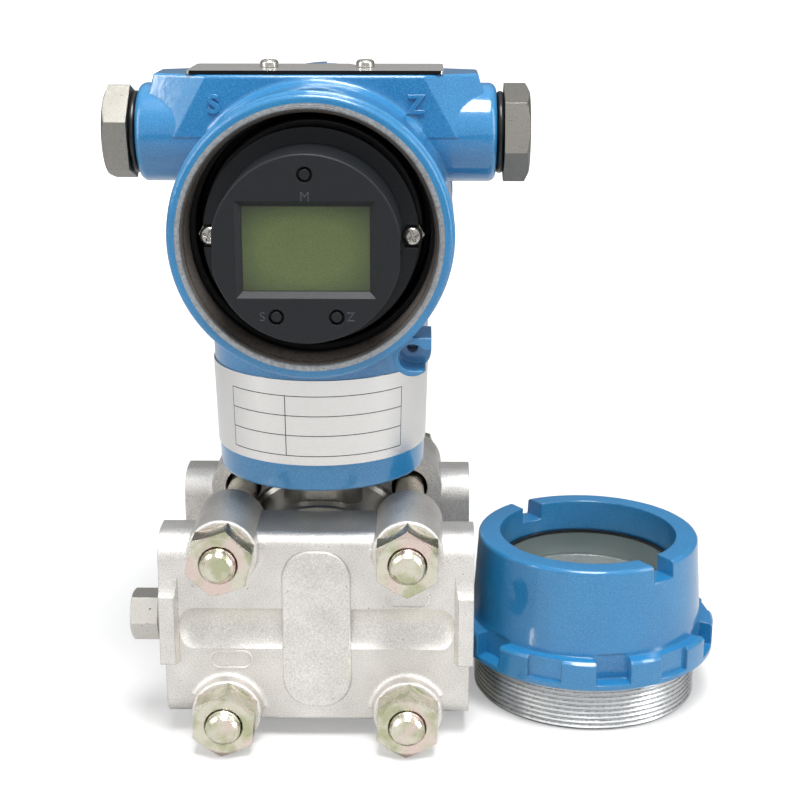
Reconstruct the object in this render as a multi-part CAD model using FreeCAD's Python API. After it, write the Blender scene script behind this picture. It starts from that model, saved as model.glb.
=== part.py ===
# Differential pressure transmitter: two clamped process flanges, a sensor cell, a die-cast
# electronics housing with a local display, and the front cover unscrewed and stood beside it.
# Millimetres. +Z is up, the display faces -Y and the process connections face +X.
# The model is drawn about the neck axis, with the ground at Z = 0, and is moved as a whole
# at the end so that the origin lies on the ground in the middle of the footprint.
import FreeCAD, Part
import math
import os

V = FreeCAD.Vector
X_AXIS, Y_AXIS, Z_AXIS = V(1, 0, 0), V(0, 1, 0), V(0, 0, 1)

# --- fits ---
RUN_FIT = 0.05            # radial clearance of a turning or sliding fit
SLIDE_GAP = 0.1           # clearance between flat faces that slide past each other
DROP_FIT = 0.15           # radial clearance of a piece dropped in its seat

# --- process side: sensor cell between two flanges ---
PORT_PITCH_Y = 54.0       # between the two process ports
ADAPTER_PITCH_Z = 41.3    # between the adapter bolt holes over and under a port
FLANGE_INNER_Y = 17.0     # from the cell's middle plane to a flange's inner face
FLANGE_THICKNESS = 20.5
FLANGE_LENGTH = 89.5
FLANGE_HEIGHT = 57.2
FLANGE_END_ROUND = 8.0    # rounding of the ends, around the adapter holes
FLANGE_MID_HALF = 33.5    # half length of the squarer middle
FLANGE_TOP_ROUND = 4.0
HIGH_END_STEP = 0.8      # the ends are this much lower than the middle, on top
FLANGE_LOW_ROUND = 1.2
LOW_END_STEP = 1.1        # the ends are this much shorter under the lug
BOLT_PITCH_X = 52.0
BOLT_PITCH_Z = 49.0
BOSS_R = 10.0
BOSS_PROUD = 4.5          # bolt seat ahead of the flange's outer face
BOSS_INNER_PROUD = 1.5
BOSS_RIM_ROUND = 0.9
BOSS_FOOT = 1.6           # hollow round where a boss leaves the outer face
LUG_WIDTH = 4.4
LUG_HEIGHT = 20.5
LUG_PROUD = 2.3
LUG_RAMP = 7.0            # height of the hollow ramp over a lug
LUG_LEDGE = 0.5           # the ramp starts this much behind the lug's face
LUG_DRAFT = 0.9
PAD_WIDTH = 19.4
PAD_HEIGHT = 48.0
PAD_PROUD = 0.9
PAD_CORNER_R = 8.5
TROUGH_R = 10.0
TROUGH_DEPTH = 2.2
TROUGH_END_X = 40.3
TROUGH_END_ROUND = 5.0
NPT_R = 5.7               # tapped size of a 1/4-18 taper pipe thread
NPT_DEPTH = 14.0
CHANNEL_R = 2.4
CHAMBER_WAY_R = CHANNEL_R * 0.75  # the cross drilling to the pressure chamber
ADAPTER_HOLE_R = 4.25     # tapped size of M10
ADAPTER_HOLE_DEPTH = 11.0
CHAMBER_R = 21.0
CHAMBER_DEPTH = 1.2

CELL_R = 30.0
CELL_WAIST_R = 28.8
CELL_RIM_WIDTH = 4.5
CELL_EDGE = 0.6
DIAPHRAGM_R = 22.5
DIAPHRAGM_THICKNESS = 0.4
DIAPHRAGM_BEAD = 0.5
GASKET_R = 28.0
GASKET_WIDTH = 3.0
GASKET_THICKNESS = 2.0
STEM_R = 12.0
STEM_TOP_Z = 96.0

BOLT_R = 4.6              # M10, at the mean size of its thread
SHANK_R = 4.5
BOLT_HOLE_R = 5.6
HEX_AF = 17.0
NUT_HEIGHT = 8.0
HEAD_HEIGHT = 6.4
BOLT_STICK_OUT = 3.0
BOLT_TIP_CHAMFER = 1.0
HEX_CHAMFER = 0.7
NUT_SINK = 0.9            # countersink of a nut's thread
THREAD_RUN = 26.0
NUT_TURNS = (17.0, 30.0, 24.0, 27.0)   # how each nut happens to stop, in degrees

VENT_AF = 13.0
VENT_HEAD = 8.0
VENT_GAP = 1.5            # bare thread between the flange's end and the vent plug's head
VENT_TURN = 30.0

# --- electronics housing ---
NECK_BOTTOM_Z = 73.5
NECK_LOW_R = 30.2
NECK_TOP_R = 31.3
NECK_EDGE = 1.2
NECK_WALL = 3.0
NECK_RECESS = 20.0        # depth of the hollow under the neck
STEM_BOSS_R = 17.0
RIB_WIDTH = 3.0
RIB_COUNT = 4
WIRE_DUCT_R = 7.0
BARREL_AXIS_Z = 147.9
BARREL_R = 38.5
BARREL_HALF = 37.8
RIM_STEP = 0.6            # a rim is this much smaller than the barrel
RIM_HALF = 42.3           # rim face from the neck axis
RIM_EDGE = 1.0
COVER_THREAD_R = 33.5     # M68 x 1.5, at the mean size of its thread
BORE_DEPTH = 15.4
BORE_CHAMFER = 0.8
CAVITY_R = 32.0
WALL_FRONT_Y = -13.5      # the wall between the display side and the terminal side
WALL_THICKNESS = 3.5
ARM_R = 13.8
ARM_HALF = 50.3
ARM_EDGE = 2.2
ARM_DROP = 17.0           # from the deck's face down to the conduit arms' axis
CONDUIT_R = 9.3           # tapped size of M20 x 1.5
DECK_RISE = 1.8           # of the deck's face over the barrel's crown
DECK_HALF_Y = 14.0
DECK_END_X = 45.0
DECK_END_SLOPE = 0.26     # how far an end leans out for each unit down
DECK_EDGE = 0.9
CORNER_X = 29.6           # where the corner facet leaves the deck's face, at the top
CORNER_LEAN = 9.1 / 16.2  # and how far it moves out for each unit down
CORNER_SLOPE = 7.0 / 15.4 # how far the facet falls back for each unit out
FLARE = 1.3               # hollow round where the barrel leaves the deck's face
LOCK_X, LOCK_DROP = 27.1, 32.3   # cover lock lug from the barrel's axis
LOCK_R = 5.2
LOCK_WALL = 1.5
LOCK_WEB = 5.5            # from the boss's axis up to the top of its web
LOCK_FRONT_Y = -40.5
LOCK_BACK_Y = -27.0
LOCK_RECESS = 8.0
LOCK_SCREW_R = 1.5

# --- covers (drawn thread down, ground at their own Z = 0) ---
COVER_RING_Z = 15.0       # underside of the ring, which meets the housing's rim
COVER_RING_R = 39.1
COVER_RING_BASE = 2.2
COVER_RING_TOP_Z = 24.0
COVER_RING_EDGE = 0.8
COVER_BODY_LOW_R = 35.0
COVER_BODY_TOP_R = 33.2
COVER_TOP_EDGE = 1.2
FRONT_COVER_HEIGHT = 50.0
REAR_COVER_HEIGHT = 36.0
COVER_BORE_R = 30.0
COVER_LIP_R = 26.7        # clear opening in front of the glass
COVER_LIP_DEPTH = 9.6
LUG_PAIRS = 6             # deep and shallow notches around the ring, in pairs
LUG_FIRST_ANGLE = -82.9
SHALLOW_NOTCH = 1.5
SPANNER_WIDTH = 7.6
SPANNER_DEPTH = 5.0
SPANNER_ANGLE = -54.0
REAR_COVER_TOP = 4.0      # thickness of the blind cover's end
COVER_TUCK = 3.25         # the loose cover's ring reaches this far in between the flanges' ends
FRONT_COVER_Y = 1.8
GLASS_R = 28.3
GLASS_THICKNESS = 8.0
GLASS_GASKET = 0.8
LOCK_RING_HEIGHT = 3.5
LOCK_RING_WIDTH = 3.6
LOCK_RING_SLOT = 3.0
LOCK_RING_SLOT_DEPTH = 1.5
COVER_ORING_R = 1.1       # cord radius

# --- conduit plugs ---
PLUG_AF = 24.0
PLUG_HEAD = 7.2
PLUG_CHAMFER = 1.6
PLUG_THREAD = 12.0
PLUG_ORING_R = 1.1
PLUG_TURNS = (47.0, 48.0)

# --- display ---
BEZEL_R = 24.7
BEZEL_DRAFT = 0.15
BEZEL_HEIGHT = 20.0
BEZEL_BASE_R = 28.9
BEZEL_BASE_THICKNESS = 3.0
BEZEL_BASE_FRONT_Y = -36.3
BEZEL_WALL = 1.6
BEZEL_FACE = 2.0
BEZEL_EDGE = 0.5
BEZEL_FLAT_X = 24.0       # flat on each side of the cup, beside its screw
BEZEL_FLAT_HEIGHT = 9.2
LEDGE_WIDTH = 1.5
LEDGE_DEPTH = 4.3
WINDOW_WIDTH, WINDOW_HEIGHT = 32.8, 22.0
WINDOW_BEVEL = 1.6
LCD_WIDTH, LCD_HEIGHT = 34.6, 24.2
DISPLAY_SCREW_X = 27.2
SCREW_NOTCH = 6.2
SCREW_NOTCH_DEPTH = 1.5
BOARD_R = 22.8
BOARD_THICKNESS = 1.6
MODE_BUTTON_Z = 19.3
LOW_BUTTON_X, LOW_BUTTON_Z = 7.8, -17.5
BUTTON_R = 1.5
BUTTON_HOLE_R = 2.05
BUTTON_FLANGE_R = 2.7
BUTTON_FLANGE = 1.0
BUTTON_POCKET_R = 3.6
BUTTON_SINK = 0.2
BUTTON_TRAVEL = 0.8
BUTTON_STEM_R = 1.0
SWITCH_SIZE = 4.6
SWITCH_HEIGHT = 1.2
MODULE_R = 30.5
MODULE_FRONT_Y = -27.0
MODULE_EDGE = 1.0
STANDOFF_AF = 5.5
STUD_LENGTH = 6.0
MODULE_SCREW_Z = 23.0
MODULE_SCREW_SINK = 4.0
MODULE_SCREW_BITE = 2.0
DISPLAY_SCREW_BITE = 4.0
M3_HOLE_SPARE = 0.5       # a tapped hole is this much deeper than its screw

# --- small screws (pan head, cross recess) ---
M3_R = 1.45
M3_HOLE_R = 1.5
M3_CLEAR_R = 1.65
M3_HEAD_R = 2.6
M3_HEAD = 2.0
CROSS_WIDTH = 0.7
CROSS_LENGTH = 3.2
CROSS_DEPTH = 1.1

# --- terminal side ---
TERMINAL_R = 29.5
TERMINAL_LOW, TERMINAL_HIGH = -18.0, 10.0   # from the barrel's axis
TERMINAL_DEPTH = 12.0
TERMINAL_STEP = 5.0
TERMINAL_PITCH = 12.0
TERMINAL_COUNT = 3
TERMINAL_RIB = 1.6
TERMINAL_SCREW_LENGTH = 5.5
TERMINAL_SCREW_RISE = 7.5 # over the block's lower edge
TERMINAL_SHELF = 15.0
GROUND_BOSS_R = 4.5
GROUND_BOSS_HEIGHT = 5.0
GROUND_DROP = 24.0
GROUND_SCREW_LENGTH = 5.5

# --- top of the housing ---
PLATE_LENGTH, PLATE_WIDTH, PLATE_THICKNESS = 70.8, 25.0, 1.0
PLATE_CORNER_R = 1.5
PLATE_SCREW_X = 13.5
PLATE_SCREW_LENGTH = 7.5
PLATE_SLOT_ANGLE = 32.0
PLUNGER_X = 26.8
PLUNGER_R = 3.2
PLUNGER_LENGTH = 4.6
PLUNGER_SINK = 0.4
PLUNGER_TRAVEL = 1.2
PLUNGER_SLOT = 0.8
PLUNGER_SLOT_DEPTH = 1.0

# --- label around the neck ---
LABEL_LOW_Z, LABEL_HIGH_Z = 81.5, 106.4
LABEL_THICKNESS = 0.3
LABEL_GLUE = 0.05
LABEL_SWEEP = 320.0

SET_SCREW_R = 3.0
SET_SCREW_Z = 79.5
SET_SCREW_KEY_AF = 3.0
SET_SCREW_KEY_DEPTH = 3.0
SET_SCREW_SINK = 1.0

# --- values that follow from the driving dimensions ---
PORT_Y = PORT_PITCH_Y / 2
FLANGE_OUTER_Y = FLANGE_INNER_Y + FLANGE_THICKNESS
SEAT_Y = FLANGE_OUTER_Y + BOSS_PROUD
MID_Z = BOSS_R + BOLT_PITCH_Z / 2            # the lower bosses stand on the ground
HALF_LENGTH = FLANGE_LENGTH / 2
FRONT_COVER_X = HALF_LENGTH + COVER_RING_R - COVER_TUCK
COVER_BORE_FIT_R = COVER_THREAD_R + RUN_FIT
RIM_R = BARREL_R - RIM_STEP
DECK_TOP_Z = BARREL_AXIS_Z + BARREL_R + DECK_RISE
ARM_AXIS_Z = DECK_TOP_Z - ARM_DROP
WALL_BACK_Y = WALL_FRONT_Y + WALL_THICKNESS
BEZEL_FRONT_Y = BEZEL_BASE_FRONT_Y - BEZEL_HEIGHT
BEZEL_INNER_Y = BEZEL_FRONT_Y + BEZEL_FACE
BOARD_FRONT_Y = BEZEL_INNER_Y + LEDGE_DEPTH
PLATE_LOW_Z = DECK_TOP_Z + SLIDE_GAP
PLATE_TOP_Z = PLATE_LOW_Z + PLATE_THICKNESS
GLASS_TOP_Z = FRONT_COVER_HEIGHT - COVER_LIP_DEPTH - GLASS_GASKET
BOLTS = [(sx * BOLT_PITCH_X / 2, MID_Z + sz * BOLT_PITCH_Z / 2) for sz in (1, -1) for sx in (-1, 1)]
BUTTONS = {
    "mode_button": (0.0, MODE_BUTTON_Z),
    "span_button": (-LOW_BUTTON_X, LOW_BUTTON_Z),
    "zero_button": (LOW_BUTTON_X, LOW_BUTTON_Z),
}
FOOTPRINT_X = (FRONT_COVER_X + COVER_RING_R - ARM_HALF - 2 * PLUG_ORING_R - PLUG_HEAD) / 2
FOOTPRINT_Y = (BEZEL_FRONT_Y + RIM_HALF - COVER_RING_Z + SLIDE_GAP + REAR_COVER_HEIGHT) / 2


# --- helpers ---
def box(x0, x1, y0, y1, z0, z1):
    return Part.makeBox(x1 - x0, y1 - y0, z1 - z0, V(x0, y0, z0))


def rod_x(radius, x0, x1, y, z):
    return Part.makeCylinder(radius, x1 - x0, V(x0, y, z), X_AXIS)


def rod_y(radius, y0, y1, x, z):
    return Part.makeCylinder(radius, y1 - y0, V(x, y0, z), Y_AXIS)


def rod_z(radius, z0, z1, x=0.0, y=0.0):
    return Part.makeCylinder(radius, z1 - z0, V(x, y, z0), Z_AXIS)


def turned(profile, centre, axis):
    """A closed profile of (radius, height) pairs, turned about an axis along +Y or +Z."""
    if axis is Y_AXIS:
        points = [V(r, h, 0) for r, h in profile]
    else:
        points = [V(r, 0, h) for r, h in profile]
    shape = Part.Face(Part.makePolygon(points + [points[0]])).revolve(V(0, 0, 0), axis, 360)
    shape.translate(centre)
    return shape


def torus(ring_radius, cord_radius, centre, axis):
    return Part.makeTorus(ring_radius, cord_radius, centre, axis)


def hex_prism(across_flats, length, base, direction, turn):
    """A hexagonal bar from a base point, turned about its own axis by an angle in degrees."""
    radius = across_flats / math.sqrt(3)
    points = [
        V(radius * math.cos(math.radians(60 * i)), radius * math.sin(math.radians(60 * i)), 0)
        for i in range(7)
    ]
    bar = Part.Face(Part.makePolygon(points)).extrude(V(0, 0, length))
    bar.rotate(V(0, 0, 0), Z_AXIS, turn)
    bar.Placement = FreeCAD.Placement(base, FreeCAD.Rotation(Z_AXIS, direction)) * bar.Placement
    return bar


def chamfered_hex(across_flats, length, base, direction, turn, chamfer):
    """A hexagonal bar whose far corners are turned away by a cone."""
    bar = hex_prism(across_flats, length, base, direction, turn)
    flat_r = across_flats / 2 * 0.96
    rise = chamfer * 2.0
    cone = Part.makeCone(flat_r + 2 * rise, flat_r, rise, base + direction * (length - rise), direction)
    stock = Part.makeCylinder(across_flats, length - rise, base, direction)
    return bar.common(stock.fuse(cone))


def beyond(point, normal, reach=120.0):
    """A large block that fills one side of a plane."""
    normal = V(*normal).normalize()
    block = Part.makeBox(2 * reach, 2 * reach, reach, V(-reach, -reach, 0))
    block.Placement = FreeCAD.Placement(V(*point), FreeCAD.Rotation(Z_AXIS, normal))
    return block


def edges_at(shape, test):
    """The edges whose every vertex passes a test."""
    return [e for e in shape.Edges if e.Vertexes and all(test(v.Point) for v in e.Vertexes)]


def near(a, b):
    return abs(a - b) < 1e-4


def round_circles(shape, radius, circle_radius, test):
    """Round the full circular edges of one radius whose centre passes a test."""
    edges = [
        e for e in shape.Edges
        if isinstance(e.Curve, Part.Circle) and near(e.Curve.Radius, circle_radius) and test(e.Curve.Center)
    ]
    return shape.makeFillet(radius, edges)


def fused(shapes):
    first, *rest = shapes
    return first.multiFuse(rest).removeSplitter() if rest else first


def pan_screw(length, shank_r=M3_R):
    """A cross-recessed pan head screw, head up, with the seat of its head at the origin."""
    head = rod_z(M3_HEAD_R, 0, M3_HEAD)
    head = round_circles(head, M3_HEAD * 0.55, M3_HEAD_R, lambda c: c.z > 0)
    for w, d in ((CROSS_WIDTH, CROSS_LENGTH), (CROSS_LENGTH, CROSS_WIDTH)):
        head = head.cut(box(-w / 2, w / 2, -d / 2, d / 2, M3_HEAD - CROSS_DEPTH, M3_HEAD + 1))
    return head.fuse(rod_z(shank_r, -length, 0)).removeSplitter()


def placed(shape, position, direction=Z_AXIS, turn=0.0):
    """A copy of a shape drawn along +Z, laid along a direction."""
    copy = shape.copy()
    copy.rotate(V(0, 0, 0), Z_AXIS, turn)
    copy.Placement = FreeCAD.Placement(position, FreeCAD.Rotation(Z_AXIS, direction)) * copy.Placement
    return copy


# --- process side ---
def flange_end_profile():
    """The flange's rounded section, as a solid over its whole length."""
    bar = box(-HALF_LENGTH, HALF_LENGTH, -FLANGE_OUTER_Y, -FLANGE_INNER_Y,
              MID_Z - FLANGE_HEIGHT / 2, MID_Z + FLANGE_HEIGHT / 2 - HIGH_END_STEP)
    long_edges = [e for e in bar.Edges if near(e.Length, FLANGE_LENGTH)]
    return bar.makeFillet(FLANGE_END_ROUND, long_edges)


def flange_middle():
    """The squarer middle between the bolt bosses."""
    low, high = MID_Z - FLANGE_HEIGHT / 2, MID_Z + FLANGE_HEIGHT / 2
    block = box(-FLANGE_MID_HALF, FLANGE_MID_HALF, -FLANGE_OUTER_Y, -FLANGE_INNER_Y, low, high)
    top = edges_at(block, lambda p: near(p.y, -FLANGE_OUTER_Y) and near(p.z, high))
    block = block.makeFillet(FLANGE_TOP_ROUND, top)
    bottom = edges_at(block, lambda p: near(p.y, -FLANGE_OUTER_Y) and near(p.z, low))
    return block.makeFillet(FLANGE_LOW_ROUND, bottom)


def flange_lug(side):
    """The raised lug across one end, with a hollow ramp above it and a drafted inner wall."""
    low, high = MID_Z - LUG_HEIGHT / 2, MID_Z + LUG_HEIGHT / 2
    face, front = -FLANGE_OUTER_Y, -FLANGE_OUTER_Y - LUG_PROUD
    x_out, x_in = side * HALF_LENGTH, side * (HALF_LENGTH - LUG_WIDTH)
    start = V(x_out, face, high + LUG_RAMP)
    end = V(x_out, front + LUG_LEDGE, high)
    middle = V(x_out, face - (LUG_PROUD - LUG_LEDGE) * 0.3, high + LUG_RAMP * 0.4)
    rest = Part.makePolygon([end, V(x_out, front, high), V(x_out, front, low), V(x_out, face + 3, low),
                             V(x_out, face + 3, high + LUG_RAMP), start])
    section = Part.Face(Part.Wire([Part.Arc(start, middle, end).toShape()] + rest.Edges))
    bar = section.extrude(V(x_in - x_out, 0, 0))
    wall = beyond((x_in, front, 0), (-side, -LUG_DRAFT / LUG_PROUD, 0))
    slab = section.extrude(V(x_in - x_out - side * LUG_DRAFT, 0, 0))
    return bar.fuse(slab.cut(wall)).removeSplitter()


def flange_pad():
    """The upright raised pad in the middle of the outer face."""
    half_w, half_h = PAD_WIDTH / 2, PAD_HEIGHT / 2
    face = -FLANGE_OUTER_Y
    pad = box(-half_w, half_w, face - PAD_PROUD, face + 1, MID_Z - half_h, MID_Z + half_h)
    corners = [e for e in pad.Edges if near(e.Length, PAD_PROUD + 1)]
    pad = pad.makeFillet(PAD_CORNER_R, corners)
    rim = edges_at(pad, lambda p: near(p.y, face - PAD_PROUD))
    return pad.makeFillet(PAD_PROUD * 0.6, rim)


def trough():
    """The shallow hollow from lug to lug, which the pad crosses, with rounded ends."""
    y = -FLANGE_OUTER_Y - TROUGH_R + TROUGH_DEPTH
    run = rod_x(TROUGH_R, -TROUGH_END_X, TROUGH_END_X, y, MID_Z)
    return round_circles(run, TROUGH_END_ROUND, TROUGH_R, lambda c: True)


def boss_foot(x, z):
    """The hollow round at the foot of a bolt boss, as far as the flat of the outer face goes."""
    crest = -FLANGE_OUTER_Y - BOSS_FOOT
    foot = rod_y(BOSS_R + BOSS_FOOT, crest, -FLANGE_OUTER_Y, x, z)
    foot = foot.cut(torus(BOSS_R + BOSS_FOOT, BOSS_FOOT, V(x, crest, z), Y_AXIS))
    middle, ends = FLANGE_HEIGHT / 2 - FLANGE_TOP_ROUND, FLANGE_HEIGHT / 2 - FLANGE_END_ROUND
    flat = box(-FLANGE_MID_HALF, FLANGE_MID_HALF, crest, -FLANGE_OUTER_Y, MID_Z - middle, MID_Z + middle)
    flat = flat.fuse(box(-HALF_LENGTH, HALF_LENGTH, crest, -FLANGE_OUTER_Y, MID_Z - ends, MID_Z + ends))
    return foot.common(flat)


def flange_holes():
    """Bolt holes, process and vent ports, adapter holes, the pressure chamber and the cell's spigot."""
    holes = [rod_y(BOLT_HOLE_R, -SEAT_Y - 1, -FLANGE_INNER_Y + BOSS_INNER_PROUD + 1, x, z) for x, z in BOLTS]
    for side in (-1, 1):
        mouth = HALF_LENGTH * side
        inner = mouth - side * NPT_DEPTH
        holes.append(rod_x(NPT_R, min(mouth, inner), max(mouth, inner), -PORT_Y, MID_Z))
    holes.append(rod_x(CHANNEL_R, -HALF_LENGTH, HALF_LENGTH, -PORT_Y, MID_Z))
    holes.append(rod_y(CHAMBER_WAY_R, -PORT_Y, -FLANGE_INNER_Y, 0, MID_Z))
    holes.append(rod_y(CHAMBER_R, -FLANGE_INNER_Y - CHAMBER_DEPTH, -FLANGE_INNER_Y, 0, MID_Z))
    holes.append(rod_y(CELL_R + DROP_FIT, -FLANGE_INNER_Y, -FLANGE_INNER_Y + BOSS_INNER_PROUD + 1, 0, MID_Z))
    for sign in (-1, 1):
        z = MID_Z + sign * ADAPTER_PITCH_Z / 2
        holes.append(rod_x(ADAPTER_HOLE_R, HALF_LENGTH - ADAPTER_HOLE_DEPTH, HALF_LENGTH, -PORT_Y, z))
    return holes


def front_flange():
    body = [flange_end_profile(), flange_middle()]
    for x, z in BOLTS:
        boss = rod_y(BOSS_R, -SEAT_Y, -FLANGE_INNER_Y + BOSS_INNER_PROUD, x, z)
        body.append(round_circles(boss, BOSS_RIM_ROUND, BOSS_R, lambda c: near(c.y, -SEAT_Y)))
        body.append(boss_foot(x, z))
    for side in (-1, 1):
        body.append(flange_lug(side))
    flange = fused(body).cut(trough())
    for side in (-1, 1):
        step_x = side * (HALF_LENGTH - LOW_END_STEP)
        flange = flange.cut(box(min(step_x, step_x + side * 5), max(step_x, step_x + side * 5),
                                -SEAT_Y, -FLANGE_INNER_Y + 1, -1, MID_Z - LUG_HEIGHT / 2))
    flange = flange.fuse(flange_pad()).removeSplitter()
    return flange.cut(flange_holes())


def rear_flange():
    return front_flange().mirror(V(0, 0, 0), Y_AXIS)


def sensor_cell():
    """The welded cell: a drum with two rims, a recess for a diaphragm on each face, and the stem."""
    half, rim = FLANGE_INNER_Y, FLANGE_INNER_Y - CELL_RIM_WIDTH
    profile = [(0, -half), (CELL_R - CELL_EDGE, -half), (CELL_R, -half + CELL_EDGE), (CELL_R, -rim),
               (CELL_WAIST_R, -rim + 1), (CELL_WAIST_R, rim - 1), (CELL_R, rim),
               (CELL_R, half - CELL_EDGE), (CELL_R - CELL_EDGE, half), (0, half)]
    cell = turned(profile, V(0, 0, MID_Z), Y_AXIS)
    cell = cell.fuse(rod_z(STEM_R, MID_Z, STEM_TOP_Z)).removeSplitter()
    for side in (-1, 1):
        face, recess = side * half, side * (half - DIAPHRAGM_THICKNESS - DIAPHRAGM_BEAD)
        groove = side * (half - GASKET_THICKNESS)
        seat_r = DIAPHRAGM_R + DROP_FIT
        cell = cell.cut(rod_y(seat_r, min(face, recess), max(face, recess), 0, MID_Z))
        ring = rod_y(GASKET_R, min(face, groove), max(face, groove), 0, MID_Z)
        cell = cell.cut(ring.cut(rod_y(GASKET_R - GASKET_WIDTH, -half, half, 0, MID_Z)))
    return cell


def isolating_diaphragms():
    """Two thin discs with one raised bead each, lying in the cell's faces."""
    discs = []
    for side in (-1, 1):
        base = side * (FLANGE_INNER_Y - DIAPHRAGM_THICKNESS - DIAPHRAGM_BEAD)
        t, b = side * DIAPHRAGM_THICKNESS, side * (DIAPHRAGM_THICKNESS + DIAPHRAGM_BEAD)
        r1, r2, r3 = DIAPHRAGM_R * 0.55, DIAPHRAGM_R * 0.62, DIAPHRAGM_R * 0.69
        profile = [(0, 0), (DIAPHRAGM_R, 0), (DIAPHRAGM_R, t), (r3, t), (r2, b), (r1, t), (0, t)]
        discs.append(turned(profile, V(0, base, MID_Z), Y_AXIS))
    return Part.makeCompound(discs)


def flange_gaskets():
    rings = []
    for side in (-1, 1):
        outer, inner = side * FLANGE_INNER_Y, side * (FLANGE_INNER_Y - GASKET_THICKNESS)
        y0, y1 = min(outer, inner), max(outer, inner)
        ring = rod_y(GASKET_R - DROP_FIT, y0, y1, 0, MID_Z)
        rings.append(ring.cut(rod_y(GASKET_R - GASKET_WIDTH + DROP_FIT, y0, y1, 0, MID_Z)))
    return Part.makeCompound(rings)


def flange_bolts():
    """Hexagon head bolts, put in from the rear, with a full thread at the nut's end."""
    tip = -SEAT_Y - NUT_HEIGHT - BOLT_STICK_OUT
    bolts = []
    for i, (x, z) in enumerate(BOLTS):
        head = chamfered_hex(HEX_AF, HEAD_HEIGHT, V(x, SEAT_Y, z), Y_AXIS, 11.0 * i, HEX_CHAMFER)
        profile = [(0, tip), (BOLT_R - BOLT_TIP_CHAMFER, tip), (BOLT_R, tip + BOLT_TIP_CHAMFER),
                   (BOLT_R, tip + THREAD_RUN), (SHANK_R, tip + THREAD_RUN + 1), (SHANK_R, SEAT_Y),
                   (0, SEAT_Y)]
        bolts.append(head.fuse(turned(profile, V(x, 0, z), Y_AXIS)).removeSplitter())
    return Part.makeCompound(bolts)


def flange_nuts():
    """Nuts on the front seats, each stopped at its own angle."""
    nuts = []
    for (x, z), turn in zip(BOLTS, NUT_TURNS):
        nut = chamfered_hex(HEX_AF, NUT_HEIGHT, V(x, -SEAT_Y, z), V(0, -1, 0), turn, HEX_CHAMFER)
        nut = nut.cut(rod_y(BOLT_R + RUN_FIT, -SEAT_Y - NUT_HEIGHT, -SEAT_Y, x, z))
        front = -SEAT_Y - NUT_HEIGHT
        sink = Part.makeCone(BOLT_R + NUT_SINK, BOLT_R + RUN_FIT, NUT_SINK, V(x, front, z), Y_AXIS)
        nuts.append(nut.cut(sink))
    return Part.makeCompound(nuts)


def vent_plug(side_y):
    """A hexagon plug in the port opposite the process connection."""
    seat = -HALF_LENGTH - VENT_GAP
    base = V(seat, side_y * PORT_Y, MID_Z)
    head = chamfered_hex(VENT_AF, VENT_HEAD, base, V(-1, 0, 0), VENT_TURN, HEX_CHAMFER)
    thread = rod_x(NPT_R - RUN_FIT, seat, -HALF_LENGTH + NPT_DEPTH - 2, base.y, MID_Z)
    return head.fuse(thread).removeSplitter()


# --- housing ---
def deck():
    """The block over the conduit arms, with leaning ends and four slanted corner facets."""
    low = ARM_AXIS_Z
    block = box(-ARM_HALF, ARM_HALF, -DECK_HALF_Y, DECK_HALF_Y, low, DECK_TOP_Z)
    for sx in (-1, 1):
        block = block.cut(beyond((sx * DECK_END_X, 0, DECK_TOP_Z), (sx, 0, DECK_END_SLOPE)))
        for sy in (-1, 1):
            normal = (sx * CORNER_SLOPE, sy, CORNER_SLOPE * CORNER_LEAN)
            block = block.cut(beyond((sx * CORNER_X, sy * DECK_HALF_Y, DECK_TOP_Z), normal))
    rim = edges_at(block, lambda p: near(p.z, DECK_TOP_Z))
    return block.makeFillet(DECK_EDGE, rim)


def barrel_flare():
    """The hollow round between the barrel and the deck's two faces, only where the deck stands."""
    steps = 4
    arc = [
        (BARREL_R + FLARE * (1 - math.cos(math.radians(90 * i / steps))),
         DECK_HALF_Y + FLARE * (1 - math.sin(math.radians(90 * i / steps))))
        for i in range(steps + 1)
    ]
    profile = [(BARREL_R - 2, DECK_HALF_Y + FLARE)] + arc + [
        (BARREL_R + FLARE, DECK_HALF_Y - 1), (BARREL_R - 2, DECK_HALF_Y - 1)]
    ring = turned(profile, V(0, 0, BARREL_AXIS_Z), Y_AXIS)
    reach = CORNER_X
    window = box(-reach, reach, 0, 2 * DECK_HALF_Y, BARREL_AXIS_Z, DECK_TOP_Z - DECK_EDGE)
    flare = ring.common(window)
    return [flare, flare.mirror(V(0, 0, 0), Y_AXIS)]


def barrel():
    body = rod_y(BARREL_R, -BARREL_HALF, BARREL_HALF, 0, BARREL_AXIS_Z)
    body = round_circles(body, 0.8, BARREL_R, lambda c: True)
    rims = rod_y(RIM_R, -RIM_HALF, RIM_HALF, 0, BARREL_AXIS_Z)
    rims = round_circles(rims, RIM_EDGE, RIM_R, lambda c: True)
    return body.fuse(rims)


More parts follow.
